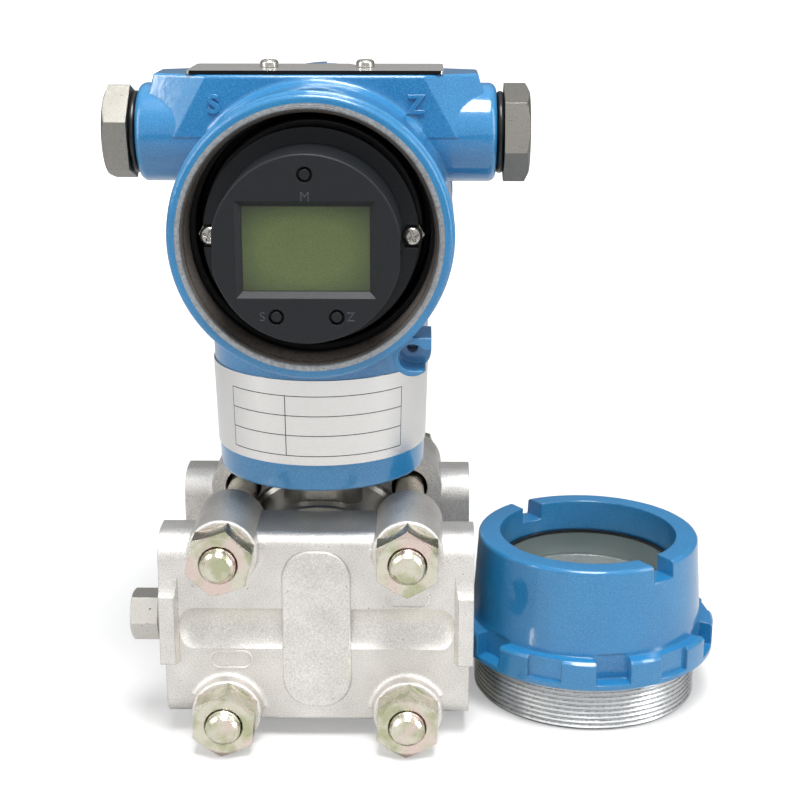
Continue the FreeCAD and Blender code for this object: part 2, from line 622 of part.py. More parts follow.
def neck():
    """The tapered neck, hollow underneath around the boss that takes the cell's stem."""
    top = BARREL_AXIS_Z - BARREL_R / 2
    taper = (NECK_TOP_R - NECK_LOW_R) / (BARREL_AXIS_Z - BARREL_R - NECK_BOTTOM_Z)
    top_r = NECK_LOW_R + taper * (top - NECK_BOTTOM_Z)
    shell = Part.makeCone(NECK_LOW_R, top_r, top - NECK_BOTTOM_Z, V(0, 0, NECK_BOTTOM_Z))
    shell = round_circles(shell, NECK_EDGE, NECK_LOW_R, lambda c: True)
    inner_r = NECK_LOW_R - NECK_WALL
    hollow = Part.makeCone(inner_r, inner_r - 1, NECK_RECESS, V(0, 0, NECK_BOTTOM_Z))
    hollow = hollow.cut(rod_z(STEM_BOSS_R, NECK_BOTTOM_Z, NECK_BOTTOM_Z + NECK_RECESS))
    for i in range(RIB_COUNT):
        rib = box(0, NECK_LOW_R, -RIB_WIDTH / 2, RIB_WIDTH / 2,
                  NECK_BOTTOM_Z + 2, NECK_BOTTOM_Z + NECK_RECESS)
        rib.rotate(V(0, 0, 0), Z_AXIS, 360 * i / RIB_COUNT + 90)
        hollow = hollow.cut(rib)
    return shell.cut(hollow)


def conduit_arms():
    arms = rod_x(ARM_R, -ARM_HALF, ARM_HALF, 0, ARM_AXIS_Z)
    return round_circles(arms, ARM_EDGE, ARM_R, lambda c: True)


def lock_lug():
    """The boss under the front rim that carries the cover lock screw."""
    x, z = LOCK_X, BARREL_AXIS_Z - LOCK_DROP
    boss = rod_y(LOCK_R, LOCK_FRONT_Y, LOCK_BACK_Y, x, z)
    web = box(x - LOCK_R, x + LOCK_R, LOCK_FRONT_Y, LOCK_BACK_Y, z, z + LOCK_WEB)
    return boss.fuse(web.cut(rod_y(RIM_R - 3, LOCK_FRONT_Y, LOCK_BACK_Y, 0, BARREL_AXIS_Z)))


def lock_lug_recess():
    """The pocket for the lock screw's head, open to the right, and the screw's hole."""
    x, z = LOCK_X, BARREL_AXIS_Z - LOCK_DROP
    inner = LOCK_R - LOCK_WALL
    y1 = LOCK_FRONT_Y + LOCK_RECESS
    pocket = rod_y(inner, LOCK_FRONT_Y, y1, x, z)
    mouth = box(x, x + LOCK_R + 1, LOCK_FRONT_Y, y1, z - inner, z + inner * 0.6)
    return [pocket, mouth, rod_y(LOCK_SCREW_R, y1, y1 + 5, x, z + 1)]


def cavities():
    """Both threaded bores, the two compartments and what opens into them."""
    cuts = []
    axis = BARREL_AXIS_Z
    for sy in (-1, 1):
        profile = [(0, RIM_HALF - BORE_DEPTH), (COVER_BORE_FIT_R, RIM_HALF - BORE_DEPTH),
                   (COVER_BORE_FIT_R, RIM_HALF - BORE_CHAMFER),
                   (COVER_BORE_FIT_R + BORE_CHAMFER, RIM_HALF), (0, RIM_HALF)]
        bore = turned(profile, V(0, 0, axis), Y_AXIS)
        cuts.append(bore if sy > 0 else bore.mirror(V(0, 0, 0), Y_AXIS))
    cuts.append(rod_y(CAVITY_R, -RIM_HALF, WALL_FRONT_Y, 0, axis))
    rear = rod_y(CAVITY_R, WALL_BACK_Y, RIM_HALF, 0, axis)
    boss = rod_y(GROUND_BOSS_R, WALL_BACK_Y, WALL_BACK_Y + GROUND_BOSS_HEIGHT, 0, axis - GROUND_DROP)
    cuts.append(rear.cut(boss))
    ground_face = WALL_BACK_Y + GROUND_BOSS_HEIGHT
    ground_end = ground_face - GROUND_SCREW_LENGTH - M3_HOLE_SPARE
    cuts.append(rod_y(M3_HOLE_R, ground_end, ground_face, 0, axis - GROUND_DROP))
    cuts.append(rod_x(CONDUIT_R, -ARM_HALF, ARM_HALF, 0, ARM_AXIS_Z))
    cuts.append(rod_z(STEM_R + RUN_FIT, NECK_BOTTOM_Z - 1, STEM_TOP_Z + 0.2))
    cuts.append(rod_z(WIRE_DUCT_R, STEM_TOP_Z, axis - CAVITY_R + 4))
    for sign in (-1, 1):
        hole_y = WALL_FRONT_Y + MODULE_SCREW_BITE + M3_HOLE_SPARE
        cuts.append(rod_y(M3_HOLE_R, WALL_FRONT_Y, hole_y, 0, axis + sign * MODULE_SCREW_Z))
        cuts.append(rod_z(M3_HOLE_R, DECK_TOP_Z - PLATE_SCREW_LENGTH, DECK_TOP_Z, sign * PLATE_SCREW_X))
        bottom = DECK_TOP_Z - PLUNGER_SINK - PLUNGER_LENGTH - PLUNGER_TRAVEL - SLIDE_GAP
        cuts.append(rod_z(PLUNGER_R + RUN_FIT, bottom, DECK_TOP_Z, sign * PLUNGER_X))
    cuts.append(rod_y(SET_SCREW_R + RUN_FIT, STEM_R, NECK_TOP_R, 0, SET_SCREW_Z))
    return cuts


def electronics_housing():
    shape = fused([barrel(), conduit_arms(), deck(), neck(), lock_lug()] + barrel_flare())
    return shape.cut(cavities() + lock_lug_recess())


# --- covers ---
def cover_blank(height):
    """A cover's turned outside: thread, seal groove, ring and tapered body."""
    groove_z = COVER_RING_Z - 2 * COVER_ORING_R
    groove_r = COVER_THREAD_R - 2 * COVER_ORING_R
    run = (COVER_BODY_LOW_R - COVER_BODY_TOP_R) / (FRONT_COVER_HEIGHT - COVER_RING_TOP_Z)
    top_r = COVER_BODY_LOW_R - run * (height - COVER_RING_TOP_Z)
    edge = COVER_RING_EDGE
    profile = [(0, 0), (COVER_THREAD_R - 0.7, 0), (COVER_THREAD_R, 0.7), (COVER_THREAD_R, groove_z),
               (groove_r, groove_z), (groove_r, COVER_RING_Z),
               (COVER_RING_R - edge, COVER_RING_Z), (COVER_RING_R, COVER_RING_Z + edge),
               (COVER_RING_R, COVER_RING_TOP_Z - edge), (COVER_RING_R - edge, COVER_RING_TOP_Z),
               (COVER_BODY_LOW_R, COVER_RING_TOP_Z), (top_r, height), (0, height)]
    blank = turned(profile, V(0, 0, 0), Z_AXIS)
    return round_circles(blank, COVER_TOP_EDGE, top_r, lambda c: near(c.z, height))


def ring_notches():
    """Deep and shallow notches that leave the ring's grip lugs, one pair for each sixth of a turn."""
    step = 360 / LUG_PAIRS
    half = COVER_RING_R * math.sin(math.radians(step / 8))
    floor = COVER_RING_Z + COVER_RING_BASE
    cuts = []
    for i in range(LUG_PAIRS):
        for k, inner in ((0, COVER_BODY_LOW_R - 0.4), (0.5, COVER_RING_R - SHALLOW_NOTCH)):
            cut = box(inner, COVER_RING_R + 2, -half, half, floor, COVER_RING_TOP_Z + 1)
            cut.rotate(V(0, 0, 0), Z_AXIS, LUG_FIRST_ANGLE + step * (i + k))
            cuts.append(cut)
    return cuts


def spanner_slots(height, inner_r):
    """Two slots across the end for a spanner bar."""
    half, floor = SPANNER_WIDTH / 2, height - SPANNER_DEPTH
    bar = box(-COVER_RING_R, COVER_RING_R, -half, half, floor, height + 1)
    bar = bar.cut(rod_z(inner_r, floor, height + 1))
    bar.rotate(V(0, 0, 0), Z_AXIS, SPANNER_ANGLE)
    return bar


def front_cover():
    height = FRONT_COVER_HEIGHT
    lip_z = height - COVER_LIP_DEPTH
    bore = [rod_z(COVER_BORE_R, 0, GLASS_TOP_Z - GLASS_THICKNESS), rod_z(GLASS_R + DROP_FIT, 0, lip_z),
            rod_z(COVER_LIP_R, 0, height), spanner_slots(height, COVER_LIP_R - 1)]
    cover = cover_blank(height).cut(bore + ring_notches())
    cover.translate(V(FRONT_COVER_X, FRONT_COVER_Y, 0))
    return cover


def front_cover_glass():
    low = GLASS_TOP_Z - GLASS_THICKNESS
    return rod_z(GLASS_R, low, GLASS_TOP_Z, FRONT_COVER_X, FRONT_COVER_Y)


def front_cover_gasket():
    ring = rod_z(GLASS_R, GLASS_TOP_Z, GLASS_TOP_Z + GLASS_GASKET, FRONT_COVER_X, FRONT_COVER_Y)
    return ring.cut(rod_z(COVER_LIP_R - 1.2, 0, FRONT_COVER_HEIGHT, FRONT_COVER_X, FRONT_COVER_Y))


def front_cover_lock_ring():
    """The threaded ring that holds the glass up against its gasket, with two key slots."""
    high = GLASS_TOP_Z - GLASS_THICKNESS
    low = high - LOCK_RING_HEIGHT
    ring = rod_z(COVER_BORE_R - RUN_FIT, low, high).cut(rod_z(COVER_BORE_R - LOCK_RING_WIDTH, low, high))
    half = LOCK_RING_SLOT / 2
    ring = ring.cut(box(-COVER_BORE_R, COVER_BORE_R, -half, half, low, low + LOCK_RING_SLOT_DEPTH))
    ring.translate(V(FRONT_COVER_X, FRONT_COVER_Y, 0))
    return ring


def cover_oring():
    """The cord seal in a cover's groove, against the underside of its ring."""
    z = COVER_RING_Z - COVER_ORING_R
    return torus(COVER_THREAD_R - COVER_ORING_R, COVER_ORING_R, V(0, 0, z), Z_AXIS)


def front_cover_oring():
    ring = cover_oring()
    ring.translate(V(FRONT_COVER_X, FRONT_COVER_Y, 0))
    return ring


def on_rear_bore(shape):
    """Lay a piece drawn thread down into the housing's rear bore."""
    return placed(shape, V(0, RIM_HALF - COVER_RING_Z + SLIDE_GAP, BARREL_AXIS_Z), Y_AXIS)


def rear_cover():
    height = REAR_COVER_HEIGHT
    hollow = rod_z(COVER_BORE_R, 0, height - REAR_COVER_TOP - SPANNER_DEPTH)
    cover = cover_blank(height).cut([hollow, spanner_slots(height, COVER_LIP_R)] + ring_notches())
    return on_rear_bore(cover)


def rear_cover_oring():
    return on_rear_bore(cover_oring())


# --- conduit plugs ---
def conduit_plug(side, turn):
    seat = ARM_HALF + 2 * PLUG_ORING_R
    head = chamfered_hex(PLUG_AF, PLUG_HEAD, V(side * seat, 0, ARM_AXIS_Z), V(side, 0, 0), turn, PLUG_CHAMFER)
    inner = ARM_HALF - PLUG_THREAD
    x0, x1 = min(side * seat, side * inner), max(side * seat, side * inner)
    return head.fuse(rod_x(CONDUIT_R - RUN_FIT, x0, x1, 0, ARM_AXIS_Z)).removeSplitter()


def conduit_plug_orings():
    ring_r = CONDUIT_R + PLUG_ORING_R
    reach = ARM_HALF + PLUG_ORING_R
    rings = [torus(ring_r, PLUG_ORING_R, V(s * reach, 0, ARM_AXIS_Z), X_AXIS) for s in (-1, 1)]
    return Part.makeCompound(rings)


# --- display ---
def window_cut():
    """The display window, bevelled outwards to the face."""
    w, h, b = WINDOW_WIDTH / 2, WINDOW_HEIGHT / 2, WINDOW_BEVEL
    z = BARREL_AXIS_Z
    y0, y1, y2 = BEZEL_FRONT_Y - 1e-3, BEZEL_FRONT_Y + b, BEZEL_INNER_Y

    def loop(half_w, half_h, y):
        corners = [(-1, -1), (1, -1), (1, 1), (-1, 1), (-1, -1)]
        return Part.makePolygon([V(sx * half_w, y, z + sz * half_h) for sx, sz in corners])

    bevel = Part.makeLoft([loop(w + b, h + b, y0), loop(w, h, y1)], True, True)
    return bevel.fuse(box(-w, w, y1 - 1e-3, y2, z - h, z + h))


def display_bezel():
    """The moulded cup around the display, on a base disc that takes the two screws."""
    z = BARREL_AXIS_Z
    base_back = BEZEL_BASE_FRONT_Y + BEZEL_BASE_THICKNESS
    face_r = BEZEL_R - BEZEL_DRAFT
    cup = Part.makeCone(face_r, BEZEL_R + BEZEL_DRAFT, BEZEL_HEIGHT, V(0, BEZEL_FRONT_Y, z), Y_AXIS)
    cup = round_circles(cup, BEZEL_EDGE, face_r, lambda c: True)
    base = rod_y(BEZEL_BASE_R, BEZEL_BASE_FRONT_Y, base_back, 0, z)
    bezel = cup.fuse(base).removeSplitter()
    inner = face_r - BEZEL_WALL
    cuts = [rod_y(inner, BOARD_FRONT_Y, base_back, 0, z),
            rod_y(inner - LEDGE_WIDTH, BEZEL_INNER_Y, BOARD_FRONT_Y, 0, z), window_cut()]
    for x, dz in BUTTONS.values():
        cuts.append(rod_y(BUTTON_HOLE_R, BEZEL_FRONT_Y, BEZEL_INNER_Y, x, z + dz))
        cuts.append(rod_y(BUTTON_POCKET_R, BEZEL_INNER_Y, BOARD_FRONT_Y, x, z + dz))
    for side in (-1, 1):
        x = side * DISPLAY_SCREW_X
        floor = BEZEL_BASE_FRONT_Y + SCREW_NOTCH_DEPTH
        x_in, x_out = side * (BEZEL_R + BEZEL_DRAFT), side * (BEZEL_BASE_R + 1)
        cuts.append(box(min(x_in, x_out), max(x_in, x_out), BEZEL_BASE_FRONT_Y, floor,
                        z - SCREW_NOTCH / 2, z + SCREW_NOTCH / 2))
        cuts.append(rod_y(SCREW_NOTCH / 2, BEZEL_FRONT_Y, floor, x, z))
        flat = side * BEZEL_FLAT_X
        cuts.append(box(min(flat, x_out), max(flat, x_out), BEZEL_FRONT_Y, BEZEL_BASE_FRONT_Y,
                        z - BEZEL_FLAT_HEIGHT / 2, z + BEZEL_FLAT_HEIGHT / 2))
        cuts.append(rod_y(M3_CLEAR_R, floor, base_back, x, z))
    return bezel.cut(cuts)


def lcd_panel():
    w, h = LCD_WIDTH / 2, LCD_HEIGHT / 2
    z = BARREL_AXIS_Z
    return box(-w, w, BEZEL_INNER_Y, BOARD_FRONT_Y, z - h, z + h)


def display_board():
    """The display's circuit board with one switch behind each button."""
    board = rod_y(BOARD_R, BOARD_FRONT_Y, BOARD_FRONT_Y + BOARD_THICKNESS, 0, BARREL_AXIS_Z)
    half = SWITCH_SIZE / 2
    for x, dz in BUTTONS.values():
        z = BARREL_AXIS_Z + dz
        lift = math.copysign(0.4, dz)
        board = board.fuse(box(x - half, x + half, BOARD_FRONT_Y - SWITCH_HEIGHT, BOARD_FRONT_Y,
                               z - half + lift, z + half + lift))
    return board.removeSplitter()


def display_button(name):
    """A button cap with the flange that keeps it behind the face, and a stem to its switch."""
    x, dz = BUTTONS[name]
    z = BARREL_AXIS_Z + dz
    flange_y = BEZEL_INNER_Y + SLIDE_GAP
    cap = rod_y(BUTTON_R, BEZEL_FRONT_Y + BUTTON_SINK, flange_y, x, z)
    cap = round_circles(cap, 0.4, BUTTON_R, lambda c: near(c.y, BEZEL_FRONT_Y + BUTTON_SINK))
    flange = rod_y(BUTTON_FLANGE_R, flange_y, flange_y + BUTTON_FLANGE, x, z)
    stem_end = BOARD_FRONT_Y - SWITCH_HEIGHT - BUTTON_TRAVEL - SLIDE_GAP
    stem = rod_y(BUTTON_STEM_R, flange_y, stem_end, x, z)
    return fused([cap, flange, stem])


def display_screws():
    seat = BEZEL_BASE_FRONT_Y + SCREW_NOTCH_DEPTH
    length = BEZEL_BASE_THICKNESS - SCREW_NOTCH_DEPTH + DISPLAY_SCREW_BITE
    screws = [placed(pan_screw(length), V(s * DISPLAY_SCREW_X, seat, BARREL_AXIS_Z), V(0, -1, 0), 20.0 * s)
              for s in (-1, 1)]
    return Part.makeCompound(screws)


def display_standoffs():
    """Hexagon posts between the electronics module and the display's base, each with a stud."""
    posts = []
    top = BEZEL_BASE_FRONT_Y + BEZEL_BASE_THICKNESS
    for side in (-1, 1):
        x = side * DISPLAY_SCREW_X
        post = hex_prism(STANDOFF_AF, MODULE_FRONT_Y - top, V(x, top, BARREL_AXIS_Z), Y_AXIS, 0)
        post = post.cut(rod_y(M3_HOLE_R, top, top + DISPLAY_SCREW_BITE + M3_HOLE_SPARE, x, BARREL_AXIS_Z))
        stud = rod_y(M3_R, MODULE_FRONT_Y, MODULE_FRONT_Y + STUD_LENGTH, x, BARREL_AXIS_Z)
        posts.append(post.fuse(stud))
    return Part.makeCompound(posts)


def electronics_module():
    """The potted electronics on the dividing wall."""
    z = BARREL_AXIS_Z
    module = rod_y(MODULE_R, MODULE_FRONT_Y, WALL_FRONT_Y, 0, z)
    module = round_circles(module, MODULE_EDGE, MODULE_R, lambda c: near(c.y, MODULE_FRONT_Y))
    cuts = []
    for side in (-1, 1):
        cuts.append(rod_y(M3_HOLE_R, MODULE_FRONT_Y, MODULE_FRONT_Y + STUD_LENGTH, side * DISPLAY_SCREW_X, z))
        cuts.append(rod_y(M3_CLEAR_R, MODULE_FRONT_Y, WALL_FRONT_Y, 0, z + side * MODULE_SCREW_Z))
        cuts.append(rod_y(M3_HEAD_R + DROP_FIT, MODULE_FRONT_Y, MODULE_FRONT_Y + MODULE_SCREW_SINK, 0,
                          z + side * MODULE_SCREW_Z))
    return module.cut(cuts)


def module_screws():
    seat = MODULE_FRONT_Y + MODULE_SCREW_SINK
    length = WALL_FRONT_Y - seat + MODULE_SCREW_BITE
    screws = [placed(pan_screw(length), V(0, seat, BARREL_AXIS_Z + s * MODULE_SCREW_Z), V(0, -1, 0), 33.0 * s)
              for s in (-1, 1)]
    return Part.makeCompound(screws)


# --- terminal side ---
def terminal_positions():
    first = -(TERMINAL_COUNT - 1) / 2 * TERMINAL_PITCH
    return [first + i * TERMINAL_PITCH for i in range(TERMINAL_COUNT)]


def terminal_block():
    """The moulded block on the rear of the wall: a raised bridge and ribs between the screws."""
    z = BARREL_AXIS_Z
    low, high = z + TERMINAL_LOW, z + TERMINAL_HIGH
    slab = rod_y(TERMINAL_R, WALL_BACK_Y, WALL_BACK_Y + TERMINAL_DEPTH, 0, z)
    slab = slab.common(box(-TERMINAL_R, TERMINAL_R, WALL_BACK_Y, WALL_BACK_Y + TERMINAL_DEPTH, low, high))
    step_y = WALL_BACK_Y + TERMINAL_DEPTH - TERMINAL_STEP
    shelf = box(-TERMINAL_R, TERMINAL_R, step_y, WALL_BACK_Y + TERMINAL_DEPTH,
                low, low + TERMINAL_SHELF)
    edge = (TERMINAL_COUNT / 2) * TERMINAL_PITCH
    for i in range(TERMINAL_COUNT + 1):
        x = -edge + i * TERMINAL_PITCH
        shelf = shelf.cut(box(x - TERMINAL_RIB / 2, x + TERMINAL_RIB / 2, step_y, step_y + TERMINAL_STEP,
                              low, high))
    block = slab.cut(shelf)
    hole_y = step_y - TERMINAL_SCREW_LENGTH - M3_HOLE_SPARE
    holes = [rod_y(M3_HOLE_R, hole_y, step_y, x, low + TERMINAL_SCREW_RISE) for x in terminal_positions()]
    return block.cut(holes)


def terminal_screws():
    seat = WALL_BACK_Y + TERMINAL_DEPTH - TERMINAL_STEP
    z = BARREL_AXIS_Z + TERMINAL_LOW + TERMINAL_SCREW_RISE
    screws = [placed(pan_screw(TERMINAL_SCREW_LENGTH), V(x, seat, z), Y_AXIS, 5 * x)
              for x in terminal_positions()]
    return Part.makeCompound(screws)


def ground_screw():
    seat = WALL_BACK_Y + GROUND_BOSS_HEIGHT
    return placed(pan_screw(GROUND_SCREW_LENGTH), V(0, seat, BARREL_AXIS_Z - GROUND_DROP), Y_AXIS, 12)


# --- top of the housing, neck ---
def nameplate():
    """The top plate. It pivots on the left screw and slips off the right one by an open slot."""
    half_l, half_w = PLATE_LENGTH / 2, PLATE_WIDTH / 2
    plate = box(-half_l, half_l, -half_w, half_w, PLATE_LOW_Z, PLATE_TOP_Z)
    corners = [e for e in plate.Edges if near(e.Length, PLATE_THICKNESS)]
    plate = plate.makeFillet(PLATE_CORNER_R, corners)
    pivot = V(-PLATE_SCREW_X, 0, 0)
    reach = 2 * PLATE_SCREW_X
    sweep = math.radians(PLATE_SLOT_ANGLE)
    slot_r = M3_CLEAR_R
    low = V(pivot.x, 0, PLATE_LOW_Z)
    band = Part.makeCylinder(reach + slot_r, PLATE_THICKNESS, low, Z_AXIS, PLATE_SLOT_ANGLE)
    band = band.cut(rod_z(reach - slot_r, PLATE_LOW_Z, PLATE_TOP_Z, pivot.x))
    ends = [rod_z(slot_r, PLATE_LOW_Z, PLATE_TOP_Z, pivot.x + reach * math.cos(a), reach * math.sin(a))
            for a in (0, sweep)]
    hole = rod_z(M3_R + RUN_FIT, PLATE_LOW_Z, PLATE_TOP_Z, pivot.x)
    return plate.cut([band, hole] + ends)


def nameplate_screws():
    seat = PLATE_TOP_Z + SLIDE_GAP
    length = PLATE_SCREW_LENGTH + seat - DECK_TOP_Z - M3_HOLE_SPARE
    return Part.makeCompound(
        [placed(pan_screw(length), V(s * PLATE_SCREW_X, 0, seat), Z_AXIS, 25.0 * s) for s in (-1, 1)])


def plunger(side):
    """The push pin of the span or zero setting, under the nameplate."""
    top = DECK_TOP_Z - PLUNGER_SINK
    pin = rod_z(PLUNGER_R, top - PLUNGER_LENGTH, top, side * PLUNGER_X)
    slot = box(side * PLUNGER_X - PLUNGER_R, side * PLUNGER_X + PLUNGER_R,
               -PLUNGER_SLOT / 2, PLUNGER_SLOT / 2, top - PLUNGER_SLOT_DEPTH, top)
    return pin.cut(slot)


def neck_label():
    """The metal label wrapped around the neck, open at the rear."""
    taper = (NECK_TOP_R - NECK_LOW_R) / (BARREL_AXIS_Z - BARREL_R - NECK_BOTTOM_Z)
    low_r = NECK_LOW_R + taper * (LABEL_LOW_Z - NECK_BOTTOM_Z) + LABEL_GLUE
    high_r = NECK_LOW_R + taper * (LABEL_HIGH_Z - NECK_BOTTOM_Z) + LABEL_GLUE
    points = [V(low_r, 0, LABEL_LOW_Z), V(low_r + LABEL_THICKNESS, 0, LABEL_LOW_Z),
              V(high_r + LABEL_THICKNESS, 0, LABEL_HIGH_Z), V(high_r, 0, LABEL_HIGH_Z)]
    band = Part.Face(Part.makePolygon(points + [points[0]])).revolve(V(0, 0, 0), Z_AXIS, LABEL_SWEEP)
    band.rotate(V(0, 0, 0), Z_AXIS, -90 - LABEL_SWEEP / 2)
    return band


def housing_set_screw():
    """The socket set screw at the rear of the neck that stops the housing from turning."""
    start, end = STEM_R + DROP_FIT, NECK_LOW_R - SET_SCREW_SINK
    screw = rod_y(SET_SCREW_R, start, end, 0, SET_SCREW_Z)
    key_y = end - SET_SCREW_KEY_DEPTH
    key = hex_prism(SET_SCREW_KEY_AF, SET_SCREW_KEY_DEPTH, V(0, key_y, SET_SCREW_Z), Y_AXIS, 0)
    return screw.cut(key)


NODES = {
    "front_flange": front_flange(),
    "rear_flange": rear_flange(),
    "sensor_cell": sensor_cell(),
    "isolating_diaphragms": isolating_diaphragms(),
    "flange_gaskets": flange_gaskets(),
    "flange_bolts": flange_bolts(),
    "flange_nuts": flange_nuts(),
    "front_vent_plug": vent_plug(-1),
    "rear_vent_plug": vent_plug(1),
    "electronics_housing": electronics_housing(),
    "housing_set_screw": housing_set_screw(),
    "neck_label": neck_label(),
    "front_cover": front_cover(),
    "front_cover_glass": front_cover_glass(),
    "front_cover_gasket": front_cover_gasket(),
    "front_cover_lock_ring": front_cover_lock_ring(),
    "front_cover_oring": front_cover_oring(),
    "rear_cover": rear_cover(),
    "rear_cover_oring": rear_cover_oring(),
    "conduit_plug_left": conduit_plug(-1, PLUG_TURNS[0]),
    "conduit_plug_right": conduit_plug(1, PLUG_TURNS[1]),
    "conduit_plug_orings": conduit_plug_orings(),
    "display_bezel": display_bezel(),
    "lcd_panel": lcd_panel(),
    "display_board": display_board(),
    "mode_button": display_button("mode_button"),
    "span_button": display_button("span_button"),
    "zero_button": display_button("zero_button"),
    "display_screws": display_screws(),
    "display_standoffs": display_standoffs(),
    "electronics_module": electronics_module(),
    "module_screws": module_screws(),
    "terminal_block": terminal_block(),
    "terminal_screws": terminal_screws(),
    "ground_screw": ground_screw(),
    "nameplate": nameplate(),
    "nameplate_screws": nameplate_screws(),
    "span_plunger": plunger(-1),
    "zero_plunger": plunger(1),
}

os.makedirs("parts", exist_ok=True)
for name, shape in NODES.items():
    shape.translate(V(-FOOTPRINT_X, -FOOTPRINT_Y, 0))
    shape.exportStep(f"parts/{name}.step")
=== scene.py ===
import bpy
import math
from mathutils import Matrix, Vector


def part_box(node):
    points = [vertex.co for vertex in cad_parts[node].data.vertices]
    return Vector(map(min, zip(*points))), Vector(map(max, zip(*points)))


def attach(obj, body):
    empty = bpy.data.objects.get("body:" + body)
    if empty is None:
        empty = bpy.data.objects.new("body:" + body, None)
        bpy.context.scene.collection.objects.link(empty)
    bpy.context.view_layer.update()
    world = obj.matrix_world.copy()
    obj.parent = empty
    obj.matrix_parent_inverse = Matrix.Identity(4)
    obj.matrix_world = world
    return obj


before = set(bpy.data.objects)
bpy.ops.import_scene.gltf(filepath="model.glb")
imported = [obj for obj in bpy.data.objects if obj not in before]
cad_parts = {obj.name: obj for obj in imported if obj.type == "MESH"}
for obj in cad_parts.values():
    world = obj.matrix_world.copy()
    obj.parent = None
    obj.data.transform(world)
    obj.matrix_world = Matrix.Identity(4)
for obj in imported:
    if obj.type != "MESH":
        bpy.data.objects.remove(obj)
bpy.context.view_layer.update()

mm = 0.001

# where things are, read from the frame's own boxes
def middle(node):
    low, high = (Vector(corner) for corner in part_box(node))
    return (low + high) / 2

def lowest(node):
    return Vector(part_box(node)[0])

def highest(node):
    return Vector(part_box(node)[1])

neck = middle("neck_label")
neck.y = middle("flange_gaskets").y  # the neck stands over the middle of the cell
barrel = middle("display_board")  # a point on the barrels' axis
cover = middle("front_cover")  # the loose cover's own axis is upright
rimFront = lowest("electronics_housing").y
deckTop = lowest("nameplate").z

print("frame loaded")


# small tools: selecting, colours and shader nodes
def selectNone():
    if bpy.context.mode != "OBJECT":
        bpy.ops.object.mode_set(mode="OBJECT")
    bpy.ops.object.select_all(action="DESELECT")

def onlySelect(piece):
    selectNone()
    piece.select_set(True)
    bpy.context.view_layer.objects.active = piece

def applyPlace(piece):
    onlySelect(piece)
    bpy.ops.object.transform_apply(location=True, rotation=True, scale=True)

def hexColour(code):
    channels = [int(code[i:i + 2], 16) / 255 for i in (1, 3, 5)]
    linear = [c / 12.92 if c <= 0.04045 else ((c + 0.055) / 1.055) ** 2.4 for c in channels]
    return (*linear, 1.0)

def addNode(tree, kind, inputs=None, **settings):
    # a node with its settings, its values and its links
    node = tree.nodes.new(kind)
    for name, value in settings.items():
        setattr(node, name, value)
    for name, value in (inputs or {}).items():
        if isinstance(value, bpy.types.NodeSocket):
            tree.links.new(value, node.inputs[name])
        else:
            node.inputs[name].default_value = value
    return node

def newMaterial(name, **shaderValues):
    material = bpy.data.materials.new(name)
    material.use_nodes = True
    tree = material.node_tree
    shader = tree.nodes["Principled BSDF"]
    for socket, value in shaderValues.items():
        shader.inputs[socket.replace("_", " ")].default_value = value
    place = addNode(tree, "ShaderNodeTexCoord").outputs["Object"]
    return material, tree, shader, place

def noise(tree, place, grainMm, detail=3.0, roughness=0.5):
    # noise whose blobs are about grainMm across
    values = {"Vector": place, "Scale": 1 / (grainMm * mm), "Detail": detail, "Roughness": roughness}
    return addNode(tree, "ShaderNodeTexNoise", values).outputs["Fac"]

def remap(tree, value, low, high, newLow=0.0, newHigh=1.0):
    values = {"Value": value, "From Min": low, "From Max": high, "To Min": newLow, "To Max": newHigh}
    return addNode(tree, "ShaderNodeMapRange", values).outputs["Result"]

def mixColour(tree, amount, first, second):
    # the Mix node has sockets of several kinds under one name, so they are found by identifier
    node = addNode(tree, "ShaderNodeMix", data_type="RGBA")
    for socket, value in (("Factor_Float", amount), ("A_Color", first), ("B_Color", second)):
        target = next(s for s in node.inputs if s.identifier == socket)
        if isinstance(value, bpy.types.NodeSocket):
            tree.links.new(value, target)
        else:
            target.default_value = value
    return next(s for s in node.outputs if s.identifier == "Result_Color")

def sums(tree, operation, first, second=0.0):
    # one step of arithmetic
    return addNode(tree, "ShaderNodeMath", {0: first, 1: second}, operation=operation).outputs[0]

def vectors(tree, operation, first, second=(0, 0, 0), output="Vector"):
    # the same for places and directions
    return addNode(tree, "ShaderNodeVectorMath", {0: first, 1: second}, operation=operation).outputs[output]

def bump(tree, height, depthMm, normal=None):
    values = {"Height": height, "Distance": depthMm * mm, "Strength": 1.0}
    if normal is not None:
        values["Normal"] = normal
    return addNode(tree, "ShaderNodeBump", values).outputs["Normal"]

def softEdges(tree, radiusMm):
    # the small rounding that every real edge has, so that it catches the light
    return addNode(tree, "ShaderNodeBevel", {"Radius": radiusMm * mm}, samples=4).outputs["Normal"]

def edgeLines(tree, rounded, strength):
    # where the rounded normal leaves the face's own: painted shade along every edge, convex and concave
    # alike, with some dirt
    alike = {"openFace": 0.97, "shadedEdge": 0.80}
    own = addNode(tree, "ShaderNodeNewGeometry").outputs["Normal"]
    same = vectors(tree, "DOT_PRODUCT", rounded, own, "Value")
    return remap(tree, same, alike["openFace"], alike["shadedEdge"], 0.0, strength)

def distanceFrom(tree, place, centre, axis):
    # how far a point is from an axis through centre along X, Y or Z
    keep = [0.0 if letter == axis else 1.0 for letter in "XYZ"]
    flat = vectors(tree, "MULTIPLY", vectors(tree, "SUBTRACT", place, centre), keep)
    return vectors(tree, "LENGTH", flat, output="Value")

def component(tree, place, axis):
    return addNode(tree, "ShaderNodeSeparateXYZ", {"Vector": place}).outputs[axis]

def stretched(tree, place, scale):
    return addNode(tree, "ShaderNodeMapping", {"Vector": place, "Scale": scale}).outputs["Vector"]


